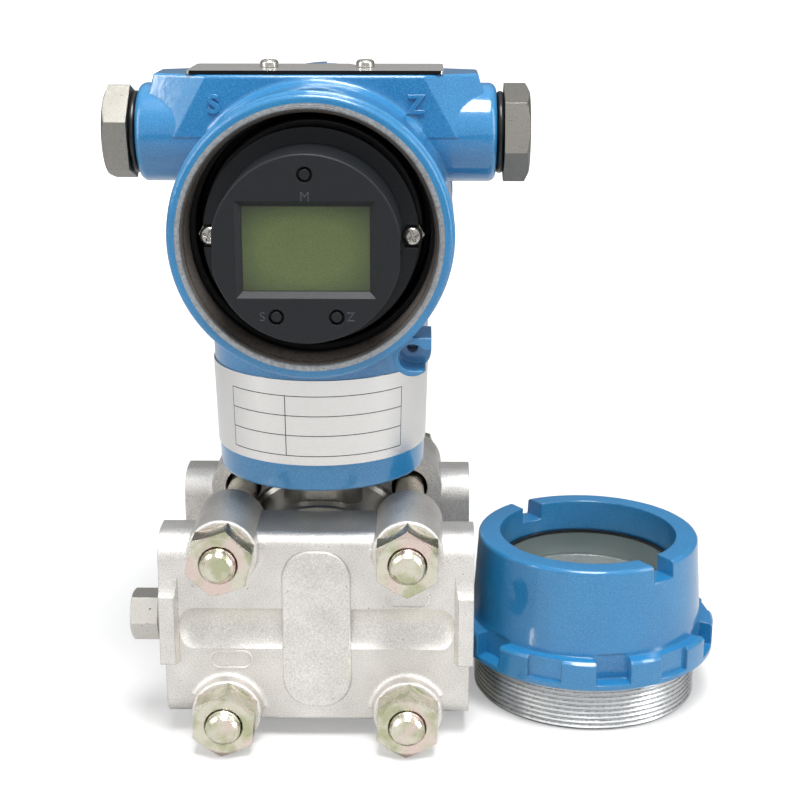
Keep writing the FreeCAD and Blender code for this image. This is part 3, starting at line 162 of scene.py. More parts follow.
# finishes: each is named for the real material and how its surface was made
enamel = {
    "base": "#1878AF",
    "shade": "#1470A6",
    "speckle": "#559FCB",
    "speckleMm": 0.3,  # the pearl is finer than this, drawn as coarse as it needs to show
    "speckles": 0.4,
    "cloudMm": 22.0,
    "edgeMm": 0.8,
    "peelMm": 2.4,
    "peelDepthMm": 0.02,
    "roughness": 0.3,
    "coat": 0.9,
    "shine": {"Coat_Roughness": 0.08, "Coat_IOR": 1.65, "Specular_IOR_Level": 0.25},
}

def enamelColour(tree, place):
    # sprayed enamel with a fine pearl: a dense light grain in the blue
    cloudy = remap(tree, noise(tree, place, enamel["cloudMm"], 2.0), 0.35, 0.65)
    colour = mixColour(tree, cloudy, hexColour(enamel["shade"]), hexColour(enamel["base"]))
    grain = noise(tree, place, enamel["speckleMm"], 1.0)
    specks = remap(tree, grain, 0.42, 0.72, 0.0, enamel["speckles"])
    return mixColour(tree, specks, colour, hexColour(enamel["speckle"]))

def enamelPeel(tree, place, edgeMm=enamel["edgeMm"]):
    # the orange peel of a sprayed coat, over rounded edges
    peel = noise(tree, place, enamel["peelMm"], 1.5)
    return bump(tree, peel, enamel["peelDepthMm"], softEdges(tree, edgeMm))

def machinedMarks(tree, radius, feedMm):
    # turning marks: rings one feed apart around an axis
    wave = sums(tree, "MULTIPLY", radius, 2 * math.pi / (feedMm * mm))
    return sums(tree, "SINE", wave)

def blueEnamel(edgeMm):
    # plain sprayed enamel over an aluminium casting: glossy, slightly orange-peeled
    material, tree, shader, place = newMaterial(
        "sprayed_blue_enamel", Roughness=enamel["roughness"], Coat_Weight=enamel["coat"], **enamel["shine"])
    normal = enamelPeel(tree, place, edgeMm)
    tree.links.new(enamelColour(tree, place), shader.inputs["Base Color"])
    tree.links.new(normal, shader.inputs["Normal"])
    tree.links.new(normal, shader.inputs["Coat Normal"])
    return material

housing = {
    "ring": {"outerMm": 35.7, "innerMm": 34.15, "deepMm": 0.9, "feedMm": 0.45, "marksMm": 0.02},
    "metal": ("#8D9194", "#B1B4B7"),
    # the bore's primer, turning black further in as painted shade, and dust
    "bore": {"fromMm": 0.3, "shadeFadeMm": (4, 16), "primer": "#6B6661", "black": "#1D1D1F", "dust": "#2A2A2C"},
    "grainMm": 0.7,
    "duller": 0.2,
}

def housingFinish():
    # the same enamel, with the rim's inner edge turned bright and the bore left a dull brown grey, painted
    # darker deeper in as shade
    ring, bore = housing["ring"], housing["bore"]
    material, tree, shader, place = newMaterial("enamelled_housing_casting", **enamel["shine"])
    radius = distanceFrom(tree, place, barrel, "Y")
    depth = component(tree, place, "Y")
    atRim = sums(tree, "LESS_THAN", depth, rimFront + ring["deepMm"] * mm)
    inRing = sums(tree, "MULTIPLY", sums(tree, "LESS_THAN", radius, ring["outerMm"] * mm), atRim)
    inBore = sums(tree, "LESS_THAN", radius, ring["innerMm"] * mm)
    pastRim = sums(tree, "GREATER_THAN", depth, rimFront + bore["fromMm"] * mm)
    inside = sums(tree, "MULTIPLY", inBore, pastRim)
    bare = sums(tree, "MULTIPLY", inRing, sums(tree, "SUBTRACT", 1.0, inside))
    unpainted = sums(tree, "ADD", bare, inside)

    grain = remap(tree, noise(tree, place, housing["grainMm"], 3.0), 0.3, 0.7)
    metal = mixColour(tree, grain, *(hexColour(code) for code in housing["metal"]))
    # painted shade: the primer turns black deeper into the bore
    deep = remap(tree, depth, *(rimFront + fade * mm for fade in bore["shadeFadeMm"]))
    primer = mixColour(tree, deep, hexColour(bore["primer"]), hexColour(bore["black"]))
    dusty = mixColour(tree, sums(tree, "MULTIPLY", grain, 0.4), primer, hexColour(bore["dust"]))
    colour = mixColour(tree, bare, enamelColour(tree, place), metal)
    tree.links.new(mixColour(tree, inside, colour, dusty), shader.inputs["Base Color"])
    tree.links.new(bare, shader.inputs["Metallic"])
    rough = sums(tree, "ADD", enamel["roughness"], sums(tree, "MULTIPLY", unpainted, housing["duller"]))
    tree.links.new(rough, shader.inputs["Roughness"])
    coat = sums(tree, "MULTIPLY", enamel["coat"], sums(tree, "SUBTRACT", 1.0, unpainted))
    tree.links.new(coat, shader.inputs["Coat Weight"])
    marks = sums(tree, "MULTIPLY", machinedMarks(tree, radius, ring["feedMm"]), bare)
    painted = enamelPeel(tree, place)
    tree.links.new(bump(tree, marks, ring["marksMm"], painted), shader.inputs["Normal"])
    tree.links.new(painted, shader.inputs["Coat Normal"])
    return material

coverMetal = {
    "threadMm": 15.02,  # from the open end up to the enamel
    "boreMm": 30.4,
    "grainMm": 0.6,
    "thread": ("#B4B6B8", "#E2E3E4"),
    # the bore wall's own pale colour, then the painted shade under the glass
    "boreWallAndShade": ("#F2F3F1", "#66706D"),
    "boreShadeMm": (12, 13),  # the bore wall is painted darker from here up, as shade under the glass
    "metallic": 0.6,
    "duller": 0.08,
}

def coverFinish(name, axis, centre, openEnd, hollowMm):
    # enamelled outside, bare turned aluminium on the thread and inside the bore, with painted shade near the
    # glass
    material, tree, shader, place = newMaterial(name, **enamel["shine"])
    edge = openEnd + coverMetal["threadMm"] * mm
    along = component(tree, place, axis)
    onThread = sums(tree, "LESS_THAN", along, edge)
    radius = distanceFrom(tree, place, centre, axis)
    inBore = sums(tree, "LESS_THAN", radius, coverMetal["boreMm"] * mm)
    low = sums(tree, "LESS_THAN", along, edge + hollowMm * mm)
    bare = sums(tree, "MAXIMUM", onThread, sums(tree, "MULTIPLY", inBore, low))

    grain = remap(tree, noise(tree, place, coverMetal["grainMm"], 4.0), 0.3, 0.7)
    metal = mixColour(tree, grain, *(hexColour(code) for code in coverMetal["thread"]))
    # painted shade: the bore wall turns darker towards the glass
    deep = remap(tree, along, *(edge + height * mm for height in coverMetal["boreShadeMm"]))
    boreWallAndShade = mixColour(tree, deep, *(hexColour(code) for code in coverMetal["boreWallAndShade"]))
    metal = mixColour(tree, inBore, metal, boreWallAndShade)
    colour = mixColour(tree, bare, enamelColour(tree, place), metal)
    tree.links.new(colour, shader.inputs["Base Color"])
    tree.links.new(sums(tree, "MULTIPLY", onThread, coverMetal["metallic"]), shader.inputs["Metallic"])
    rough = sums(tree, "ADD", enamel["roughness"], sums(tree, "MULTIPLY", bare, coverMetal["duller"]))
    tree.links.new(rough, shader.inputs["Roughness"])
    coat = sums(tree, "MULTIPLY", enamel["coat"], sums(tree, "SUBTRACT", 1.0, bare))
    tree.links.new(coat, shader.inputs["Coat Weight"])
    painted = enamelPeel(tree, place)
    tree.links.new(painted, shader.inputs["Normal"])
    tree.links.new(painted, shader.inputs["Coat Normal"])
    return material

def threadMetal(name, centre, axis, rootMm, crestMm, rootColour, bright, metallic=0.85):
    # a turned thread, coloured from its roots to its crests and broken up by blotches: on the covers bright
    # crests, and roots painted darker as shade in the grooves, with some oil and swarf
    material, tree, shader, place = newMaterial(name, Metallic=metallic, Roughness=0.3)
    radius = distanceFrom(tree, place, centre, axis)
    grain = noise(tree, place, 0.9, 4.0, 0.65)
    # painted shade in the grooves: root colour at the roots, crest colour at the crests
    up = remap(tree, radius, rootMm * mm, crestMm * mm)
    blotches = sums(tree, "MULTIPLY", sums(tree, "SUBTRACT", grain, 0.5), 0.9)
    rootToCrest = remap(tree, sums(tree, "ADD", up, blotches), 0.1, 0.6)
    colour = mixColour(tree, rootToCrest, hexColour(rootColour), hexColour(bright))
    tree.links.new(colour, shader.inputs["Base Color"])
    tree.links.new(bump(tree, grain, 0.03), shader.inputs["Normal"])
    return material

casting = {
    "light": "#F1EEEA",
    "dark": "#B9B6B1",
    "pit": "#76736E",
    "grainMm": 0.38,
    "grainDepthMm": 0.15,
    "lumpMm": 3.5,
    "lumpDepthMm": 0.08,
    "stainMm": 14.0,
    "stains": 0.2,
    "pitMm": 0.8,
    "edgeMm": 0.4,
    "edgeShadeAndDirt": 0.85,
    "roughness": (0.36, 0.5),
}

def castStainless():
    # investment cast 316 stainless, bead blasted: pale, even, a fine sparkling grain
    material, tree, shader, place = newMaterial("blasted_cast_stainless", Metallic=0.9)
    fine = noise(tree, place, casting["grainMm"], 3.0, 0.6)
    lumps = noise(tree, place, casting["lumpMm"], 2.0)
    stains = remap(tree, noise(tree, place, casting["stainMm"], 3.0), 0.3, 0.7)
    tone = remap(tree, sums(tree, "ADD", sums(tree, "MULTIPLY", stains, casting["stains"]), fine), 0.3, 0.85)
    colour = mixColour(tree, tone, hexColour(casting["dark"]), hexColour(casting["light"]))
    pits = remap(tree, noise(tree, place, casting["pitMm"], 1.0), 0.74, 0.84)
    rounded = softEdges(tree, casting["edgeMm"])
    # pits, and painted shade along every edge, both in the pit colour
    marks = sums(tree, "MAXIMUM", pits, edgeLines(tree, rounded, casting["edgeShadeAndDirt"]))
    tree.links.new(mixColour(tree, marks, colour, hexColour(casting["pit"])), shader.inputs["Base Color"])
    tree.links.new(remap(tree, fine, 0.3, 0.7, *casting["roughness"]), shader.inputs["Roughness"])
    lumpy = bump(tree, lumps, casting["lumpDepthMm"], rounded)
    normal = bump(tree, fine, casting["grainDepthMm"], lumpy)
    tree.links.new(normal, shader.inputs["Normal"])
    return material

def turnedStainless():
    # turned stainless bar: rings one feed apart along the cell, a little darker than the castings
    material, tree, shader, place = newMaterial("turned_stainless", Metallic=0.95, Roughness=0.34)
    acrossFeed = (1, 6, 1)  # six times finer along the cell's axis
    fine = noise(tree, stretched(tree, place, acrossFeed), 1.2, 3.0)
    colour = mixColour(tree, fine, hexColour("#8D8A84"), hexColour("#B9B6AF"))
    tree.links.new(colour, shader.inputs["Base Color"])
    tree.links.new(bump(tree, fine, 0.03), shader.inputs["Normal"])
    return material

zinc = {
    "straw": "#D3CFBF",
    "olive": "#B3B596",
    "oliveMm": 6.0,
    "rose": "#D9C6BE",
    "roseMm": 8.0,
    "scuff": "#5A574E",
    "scuffMm": 0.9,
    "scuffs": 0.6,
    "edgeMm": 0.3,
    "edgeShadeAndDirt": 0.7,
    "dimpleDepthMm": 0.04,
    "roughness": (0.14, 0.32),
}

def yellowZinc():
    # yellow chromate over zinc: pale gold that drifts to green and rose, bright and slightly scuffed
    material, tree, shader, place = newMaterial("yellow_passivated_zinc", Metallic=1.0)
    olive = remap(tree, noise(tree, place, zinc["oliveMm"], 2.0), 0.45, 0.62)
    rose = remap(tree, noise(tree, place, zinc["roseMm"], 1.0), 0.52, 0.68)
    colour = mixColour(tree, olive, hexColour(zinc["straw"]), hexColour(zinc["olive"]))
    colour = mixColour(tree, rose, colour, hexColour(zinc["rose"]))
    scuffs = remap(tree, noise(tree, place, zinc["scuffMm"], 5.0, 0.7), 0.62, 0.70, 0.0, zinc["scuffs"])
    rounded = softEdges(tree, zinc["edgeMm"])
    # scuffs, and painted shade along every edge, both in the scuff colour
    marks = sums(tree, "MAXIMUM", scuffs, edgeLines(tree, rounded, zinc["edgeShadeAndDirt"]))
    tree.links.new(mixColour(tree, marks, colour, hexColour(zinc["scuff"])), shader.inputs["Base Color"])
    rough = remap(tree, noise(tree, place, 2.0, 4.0), 0.3, 0.7, *zinc["roughness"])
    tree.links.new(rough, shader.inputs["Roughness"])
    dimples = noise(tree, place, zinc["scuffMm"], 3.0)
    tree.links.new(bump(tree, dimples, zinc["dimpleDepthMm"], rounded), shader.inputs["Normal"])
    return material

def drawnSteel(name, dark, light, scale, roughness):
    # cold drawn hexagon bar: fine straight draw lines along one direction
    material, tree, shader, place = newMaterial(name, Metallic=0.95, Roughness=roughness)
    lines = noise(tree, stretched(tree, place, scale), 0.9, 4.0, 0.6)
    colour = mixColour(tree, remap(tree, lines, 0.3, 0.7), hexColour(dark), hexColour(light))
    nicks = remap(tree, noise(tree, place, 1.1, 3.0), 0.68, 0.74)
    tree.links.new(mixColour(tree, nicks, colour, hexColour("#55534F")), shader.inputs["Base Color"])
    tree.links.new(bump(tree, lines, 0.04, softEdges(tree, 0.25)), shader.inputs["Normal"])
    return material

def glossRubber():
    # moulded nitrile rubber, oiled: deep black with a soft highlight
    material, tree, shader, place = newMaterial("oiled_nitrile_rubber", Roughness=0.28)
    dust = remap(tree, noise(tree, place, 0.8, 3.0), 0.60, 0.75, 0.0, 0.3)
    colour = mixColour(tree, dust, hexColour("#0B0B0C"), hexColour("#2B2C2E"))
    tree.links.new(colour, shader.inputs["Base Color"])
    tree.links.new(bump(tree, noise(tree, place, 1.5), 0.02), shader.inputs["Normal"])
    return material

def texturedPlastic(name, dark, light, roughness, grainMm=0.35, depthMm=0.03):
    # moulded plastic with a fine spark-eroded texture
    material, tree, shader, place = newMaterial(name, Roughness=roughness, Specular_IOR_Level=0.35)
    grain = noise(tree, place, grainMm, 2.0)
    colour = mixColour(tree, remap(tree, grain, 0.3, 0.7), hexColour(dark), hexColour(light))
    tree.links.new(colour, shader.inputs["Base Color"])
    tree.links.new(bump(tree, grain, depthMm, softEdges(tree, 0.3)), shader.inputs["Normal"])
    return material

crystal = {"dark": "#43512A", "light": "#5A693A", "edge": "#2B341C", "edges": 0.8, "sparkleMm": 0.3}

def liquidCrystal():
    # unlit reflective display: olive, a fine sparkle from the polariser, with painted shade darkening it
    # towards its edges
    material, tree, shader, place = newMaterial(
        "unlit_liquid_crystal", Roughness=0.35, Coat_Weight=0.5, Coat_Roughness=0.12)
    size = highest("lcd_panel") - lowest("lcd_panel")
    moved = vectors(tree, "SUBTRACT", place, middle("lcd_panel"))
    scaled = stretched(tree, moved, (2 / size.x, 0, 2 / size.z))
    away = vectors(tree, "LENGTH", scaled, output="Value")
    sparkle = remap(tree, noise(tree, place, crystal["sparkleMm"], 2.0), 0.3, 0.7)
    colour = mixColour(tree, sparkle, hexColour(crystal["dark"]), hexColour(crystal["light"]))
    # painted shade, darkening towards the panel's edges
    edge = remap(tree, away, 0.65, 1.3, 0.0, crystal["edges"])
    tree.links.new(mixColour(tree, edge, colour, hexColour(crystal["edge"])), shader.inputs["Base Color"])
    return material

def brushedSheet(name, dark, light, scale, roughness):
    # thin rolled sheet, brushed one way
    material, tree, shader, place = newMaterial(name, Metallic=0.75, Roughness=roughness)
    lines = noise(tree, stretched(tree, place, scale), 1.0, 4.0, 0.6)
    colour = mixColour(tree, remap(tree, lines, 0.3, 0.7), hexColour(dark), hexColour(light))
    tree.links.new(colour, shader.inputs["Base Color"])
    tree.links.new(bump(tree, lines, 0.015), shader.inputs["Normal"])
    return material

topPlate = {"dark": "#C9C7C4", "light": "#E4E3E1", "edge": "#1E1E20", "edgeMm": 0.2,
            "brush": (1, 14, 1), "brushDepthMm": 0.015}

def plateSheet():
    # the top plate: brushed stainless, with painted shade: its front and back edges painted near black
    material, tree, shader, place = newMaterial("brushed_stainless_plate", Metallic=0.75, Roughness=0.25)
    lines = noise(tree, stretched(tree, place, topPlate["brush"]), 1.0, 4.0, 0.6)
    shade = remap(tree, lines, 0.3, 0.7)
    steel = mixColour(tree, shade, hexColour(topPlate["dark"]), hexColour(topPlate["light"]))
    # painted shade along the plate's front and back edges
    inward = topPlate["edgeMm"] * mm
    across = component(tree, place, "Y")
    front = sums(tree, "LESS_THAN", across, lowest("nameplate").y + inward)
    back = sums(tree, "GREATER_THAN", across, highest("nameplate").y - inward)
    edges = sums(tree, "MAXIMUM", front, back)
    tree.links.new(mixColour(tree, edges, steel, hexColour(topPlate["edge"])), shader.inputs["Base Color"])
    tree.links.new(bump(tree, lines, topPlate["brushDepthMm"]), shader.inputs["Normal"])
    return material

label = {
    "dark": "#D2D1CF",
    "light": "#E3E2DF",
    "ink": "#4B4B4D",
    "brush": (1, 1, 14),
    "brushDepthMm": 0.01,
    # the ruled form: heights above the ground, and places around the neck from its front
    "lowMm": 84.2,
    "rulesMm": (90.2, 96.0),
    "highMm": 101.8,
    "dividerMm": -8.5,
    "reachMm": 27.0,
    "lineMm": 0.26,
    "aroundMm": 31.0,  # the radius that places around the neck are laid out on
}

def labelFoil():
    # satin foil, printed with an empty ruled form: a frame, two rules and a divider
    material, tree, shader, place = newMaterial("printed_foil_label", Metallic=0.8, Roughness=0.2)
    lines = noise(tree, stretched(tree, place, label["brush"]), 1.0, 4.0, 0.6)
    foil = mixColour(tree, remap(tree, lines, 0.3, 0.7), hexColour(label["dark"]), hexColour(label["light"]))
    moved = vectors(tree, "SUBTRACT", place, (neck.x, neck.y, 0))
    across, toBack, up = (component(tree, moved, axis) for axis in "XYZ")
    turn = sums(tree, "ARCTAN2", across, sums(tree, "MULTIPLY", toBack, -1.0))
    around = sums(tree, "MULTIPLY", turn, label["aroundMm"])
    height = sums(tree, "MULTIPLY", up, 1 / mm)

    def lineAt(value, position):
        off = sums(tree, "ABSOLUTE", sums(tree, "SUBTRACT", value, position))
        return sums(tree, "LESS_THAN", off, label["lineMm"] / 2)

    def within(value, low, high):
        above = sums(tree, "GREATER_THAN", value, low)
        return sums(tree, "MULTIPLY", above, sums(tree, "LESS_THAN", value, high))

    low, high, reach = label["lowMm"], label["highMm"], label["reachMm"]
    level, upright = 0.0, 0.0
    for position in (low, *label["rulesMm"], high):
        level = sums(tree, "MAXIMUM", level, lineAt(height, position))
    for position in (-reach, label["dividerMm"], reach):
        upright = sums(tree, "MAXIMUM", upright, lineAt(around, position))
    level = sums(tree, "MULTIPLY", level, within(around, -reach, reach))
    upright = sums(tree, "MULTIPLY", upright, within(height, low, high))
    printed = sums(tree, "MAXIMUM", level, upright)
    tree.links.new(mixColour(tree, printed, foil, hexColour(label["ink"])), shader.inputs["Base Color"])
    tree.links.new(bump(tree, lines, label["brushDepthMm"]), shader.inputs["Normal"])
    return material

def floatGlass():
    # thick toughened glass, greenish where it is deep: mostly clear, so light falls on what is under it
    material, tree, shader, place = newMaterial(
        "toughened_float_glass", Roughness=0.03, IOR=1.52, Alpha=0.14)
    haze = remap(tree, noise(tree, place, 12.0, 2.0), 0.3, 0.7)
    colour = mixColour(tree, haze, hexColour("#B4C4BD"), hexColour("#C4D2CB"))
    tree.links.new(colour, shader.inputs["Base Color"])
    return material

def whiteSeal():
    # skived PTFE, waxy white
    material, tree, shader, place = newMaterial("skived_ptfe", Roughness=0.5, IOR=1.36)
    colour = mixColour(tree, noise(tree, place, 2.5), hexColour("#DAD9D3"), hexColour("#EEEDE8"))
    tree.links.new(colour, shader.inputs["Base Color"])
    return material

def solderMask():
    # green solder resist over fibreglass: glossy, the weave just showing
    material, tree, shader, place = newMaterial("green_solder_resist", Roughness=0.3)
    alongWeft = (1, 1, 3)
    weave = noise(tree, stretched(tree, place, alongWeft), 0.8)
    colour = mixColour(tree, weave, hexColour("#0F4A2A"), hexColour("#1B6339"))
    tree.links.new(colour, shader.inputs["Base Color"])
    return material

finishes = {
    "letterEnamel": blueEnamel(0.12),  # the letters' edges are crisper than the castings'
    "housing": housingFinish(),
    "frontCover": coverFinish("enamelled_front_cover", "Z", cover, lowest("front_cover").z, hollowMm=24.5),
    "rearCover": coverFinish("enamelled_rear_cover", "Y", barrel, lowest("rear_cover").y, hollowMm=11.4),
    "cast": castStainless(),
    "cell": turnedStainless(),
    "zinc": yellowZinc(),
    "plug": drawnSteel("drawn_hexagon_steel", "#77756F", "#A09D96", scale=(12, 2, 2), roughness=0.42),
    "vent": drawnSteel(
        "drawn_hexagon_stainless", "#B4B1AB", "#DCD9D3", scale=(12, 2, 2), roughness=0.34),
    "nickel": drawnSteel("nickel_plated_steel", "#9C9A95", "#D6D3CC", scale=(3, 3, 3), roughness=0.2),
    "bareAluminium": drawnSteel(
        "turned_bare_aluminium", "#B4B6B8", "#E6E7E8", scale=(1, 1, 8), roughness=0.26),
    "coverThread": threadMetal("turned_cover_thread", cover, "Z", 33.4, 34.0, "#2E2F31", "#E6E8EA"),
    "rearThread": threadMetal("turned_rear_thread", barrel, "Y", 33.4, 33.75, "#2E2F31", "#DADCDE"),
    "boreThread": threadMetal(
        "primed_bore_thread", barrel, "Y", 33.1, 33.9, "#77706A", "#393532", metallic=0.25),
    "foil": labelFoil(),
    "plate": plateSheet(),
    "diaphragm": brushedSheet("rolled_stainless_foil", "#A9A7A3", "#CFCDC9", (1, 1, 1), 0.25),
    "rubber": glossRubber(),
    "bezel": texturedPlastic("spark_textured_abs", "#0B0D11", "#15191E", 0.5),
    # painted highlight: the letters are the bezel's black plastic, drawn lighter in place of the light on
    # their edges
    "mark": texturedPlastic("abs_letters_painted_lighter_as_highlight", "#33373D", "#42474E", 0.28),
    "button": texturedPlastic("moulded_nylon", "#0C0D10", "#17191D", 0.36),
    "potting": texturedPlastic("poured_epoxy", "#101113", "#1C1D20", 0.3, grainMm=1.5, depthMm=0.02),
    "terminal": texturedPlastic("glass_filled_nylon", "#1B1B1C", "#2C2C2E", 0.55, grainMm=0.6),
    "lcd": liquidCrystal(),
    "glass": floatGlass(),
    "seal": whiteSeal(),
    "board": solderMask(),
}

# which nodes wear which finish
wearing = {
    "housing": ["electronics_housing"],
    "frontCover": ["front_cover"],
    "rearCover": ["rear_cover"],
    "cast": ["front_flange", "rear_flange"],
    "cell": ["sensor_cell"],
    "zinc": ["flange_bolts", "flange_nuts"],
    "plug": ["conduit_plug_left", "conduit_plug_right"],
    "vent": ["front_vent_plug", "rear_vent_plug"],
    "nickel": ["nameplate_screws", "display_screws", "module_screws", "terminal_screws", "ground_screw",
               "housing_set_screw", "display_standoffs"],
    "bareAluminium": ["front_cover_lock_ring"],
    "foil": ["neck_label"],
    "plate": ["nameplate"],
    "diaphragm": ["isolating_diaphragms"],
    "rubber": ["conduit_plug_orings", "front_cover_oring", "rear_cover_oring", "front_cover_gasket"],
    "bezel": ["display_bezel"],
    "button": ["mode_button", "span_button", "zero_button", "span_plunger", "zero_plunger"],
    "potting": ["electronics_module"],
    "terminal": ["terminal_block"],
    "lcd": ["lcd_panel"],
    "glass": ["front_cover_glass"],
    "seal": ["flange_gaskets"],
    "board": ["display_board"],
}
for finish, nodes in wearing.items():
    for node in nodes:
        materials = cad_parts[node].data.materials
        materials.clear()
        materials.append(finishes[finish])
print("finishes assigned")


# pieces on the frame
def finishPiece(piece, name, finish, body, smoothAngle=35):
    # its place goes into its mesh, and it rides on the body that carries it
    piece.name = name
    applyPlace(piece)
    piece.data.materials.clear()
    piece.data.materials.append(finishes[finish])
    onlySelect(piece)
    bpy.ops.object.shade_smooth_by_angle(angle=math.radians(smoothAngle))
    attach(piece, body)
    return piece

def ridgedSleeve(thread):
    # a sleeve of ridges one pitch apart, rising along Z from the origin
    root, crest, pitch = (thread[size] * mm for size in ("rootMm", "crestMm", "pitchMm"))
    selectNone()
    bpy.ops.mesh.primitive_circle_add(vertices=thread["sides"], radius=root, location=(0, 0, 0))
    piece = bpy.context.active_object
    bpy.ops.object.mode_set(mode="EDIT")
    bpy.ops.mesh.select_all(action="SELECT")
    for turn in range(thread["turns"]):
        for factor in (crest / root, root / crest):
            bpy.ops.mesh.extrude_edges_move(TRANSFORM_OT_translate={"value": (0, 0, pitch / 2)})
            bpy.ops.transform.resize(value=(factor, factor, 1), center_override=(0, 0, 0))
    bpy.ops.mesh.select_all(action="SELECT")
    bpy.ops.mesh.normals_make_consistent(inside=crest < root)
    bpy.ops.object.mode_set(mode="OBJECT")
    wall = piece.modifiers.new("wall", "SOLIDIFY")
    wall.thickness = thread["wallMm"] * mm
    wall.offset = -1
    bpy.ops.object.modifier_apply(modifier=wall.name)
    return piece

# turns that point what was made along Z towards the back or the front
towardsBack, towardsFront = (-math.pi / 2, 0, 0), (math.pi / 2, 0, 0)

# the threads: startMm is measured from the open end of the cover, barrel or bolt
coverThread = {"rootMm": 33.4, "crestMm": 34.0, "pitchMm": 1.5, "turns": 8, "sides": 160,
               "wallMm": 0.3, "startMm": 0.4}
piece = ridgedSleeve(coverThread)
piece.location = (cover.x, cover.y, coverThread["startMm"] * mm)
finishPiece(piece, "front_cover_thread", "coverThread", "process_side")

rearThread = {"rootMm": 33.4, "crestMm": 33.75, "pitchMm": 1.5, "turns": 8, "sides": 120,
              "wallMm": 0.3, "startMm": 0.4}
piece = ridgedSleeve(rearThread)
piece.rotation_euler = towardsBack
piece.location = (barrel.x, lowest("rear_cover").y + rearThread["startMm"] * mm, barrel.z)
finishPiece(piece, "rear_cover_thread", "rearThread", "rear_cover")

boreThread = {"rootMm": 33.65, "crestMm": 33.15, "pitchMm": 1.5, "turns": 7, "sides": 160,
              "wallMm": 0.3, "startMm": 1.4}
piece = ridgedSleeve(boreThread)
piece.rotation_euler = towardsBack
piece.location = (barrel.x, rimFront + boreThread["startMm"] * mm, barrel.z)
finishPiece(piece, "front_bore_thread", "boreThread", "housing")

boltThread = {"rootMm": 4.5, "crestMm": 5.0, "pitchMm": 1.5, "turns": 2, "sides": 64,
              "wallMm": 0.3, "startMm": 3.9}
boltsFromMiddle = {"x": 26.0 * mm, "z": 24.5 * mm}
boltTip = lowest("flange_bolts").y
flangeX = middle("sensor_cell").x
flangeZ = (lowest("front_flange").z + highest("front_flange").z) / 2
for sideX, sideName in ((-1, "left"), (1, "right")):
    for sideZ, heightName in ((-1, "low"), (1, "high")):
        piece = ridgedSleeve(boltThread)
        piece.rotation_euler = towardsFront
        piece.location = (
            flangeX + sideX * boltsFromMiddle["x"],
            boltTip + boltThread["startMm"] * mm,
            flangeZ + sideZ * boltsFromMiddle["z"])
        name = "bolt_thread_" + sideName + "_" + heightName
        finishPiece(piece, name, "zinc", "process_side")
print("threads cut")


# the function letters
capitalShare = 0.7  # a capital's height in the font's size
crispAngle = 20  # faces that meet at more than this stay crisp

def castLetter(letter, name, mark, place, finish, body):
    # a letter standing on a face that looks towards -Y
    selectNone()
    bpy.ops.object.text_add(location=(0, 0, 0))
    piece = bpy.context.active_object
    piece.data.body = letter
    piece.data.align_x = "CENTER"
    piece.data.align_y = "CENTER"
    piece.data.size = mark["heightMm"] * mm / capitalShare
    piece.data.extrude = mark["raiseMm"] * mm
    piece.data.offset = mark["strokeMm"] * mm
    piece.data.bevel_depth = mark["bevelMm"] * mm
    piece.data.bevel_resolution = 2
    onlySelect(piece)
    bpy.ops.object.convert(target="MESH")
    piece = bpy.context.active_object
    piece.rotation_euler = towardsFront
    piece.location = place
    return finishPiece(piece, name, finish, body, crispAngle)

deckMarks = {"heightMm": 4.9, "raiseMm": 0.45, "strokeMm": 0.12, "bevelMm": 0.14,
             "asideMm": 27.75, "underPlateMm": 8.2, "beforeNeckMm": 14.0}
deckFace = neck.y - deckMarks["beforeNeckMm"] * mm
for letter, side in (("S", -1), ("Z", 1)):
    place = (neck.x + side * deckMarks["asideMm"] * mm, deckFace, deckTop - deckMarks["underPlateMm"] * mm)
    castLetter(letter, "deck_mark_" + letter, deckMarks, place, "letterEnamel", "housing")

buttonMarks = {"heightMm": 2.4, "raiseMm": 0.02, "strokeMm": 0.0, "bevelMm": 0.02,
               "belowMm": 5.7, "besideMm": 3.6}
bezelFace = lowest("display_bezel").y
below, beside = buttonMarks["belowMm"] * mm, buttonMarks["besideMm"] * mm
modePlace, spanPlace, zeroPlace = middle("mode_button"), middle("span_button"), middle("zero_button")
marks = {
    "M": (modePlace.x, bezelFace, modePlace.z - below),
    "S": (spanPlace.x - beside, bezelFace, spanPlace.z),
    "Z": (zeroPlace.x + beside, bezelFace, zeroPlace.z),
}
for letter, place in marks.items():
    castLetter(letter, "button_mark_" + letter, buttonMarks, place, "mark", "housing")
print("function letters set")


# the borders of two cast marks, raised on the front flange
border = {"heightMm": 5.1, "lineMm": 0.4, "rounding": 0.495, "steps": 10, "smoothAngle": 50,
          "beforeNeckMm": 37.5}
castMarks = {
    "cast_mark_border_left": {"x": -24.7, "z": 24.9, "lengthMm": 11.8},
    "cast_mark_border_right": {"x": 26.2, "z": 43.9, "lengthMm": 12.0},
}

def castBorder(name, centre, lengthMm):
    # a raised obround line round a cast mark's bare place, on a face that looks towards -Y
    height = border["heightMm"] * mm
    selectNone()
    bpy.ops.mesh.primitive_plane_add(size=1, location=(0, 0, 0))
    piece = bpy.context.active_object
    piece.scale = (lengthMm * mm, height, 1)
    applyPlace(piece)
    bpy.ops.object.mode_set(mode="EDIT")
    bpy.ops.mesh.select_all(action="SELECT")
    bpy.ops.mesh.bevel(offset=height * border["rounding"], segments=border["steps"], affect="VERTICES")
    bpy.ops.mesh.delete(type="ONLY_FACE")
    bpy.ops.object.mode_set(mode="OBJECT")
    onlySelect(piece)
    bpy.ops.object.convert(target="CURVE")
    piece.data.bevel_depth = border["lineMm"] * mm
    piece.data.bevel_resolution = 3
    bpy.ops.object.convert(target="MESH")
    piece.rotation_euler = towardsFront
    piece.location = centre
    return finishPiece(piece, name, "cast", "process_side", border["smoothAngle"])

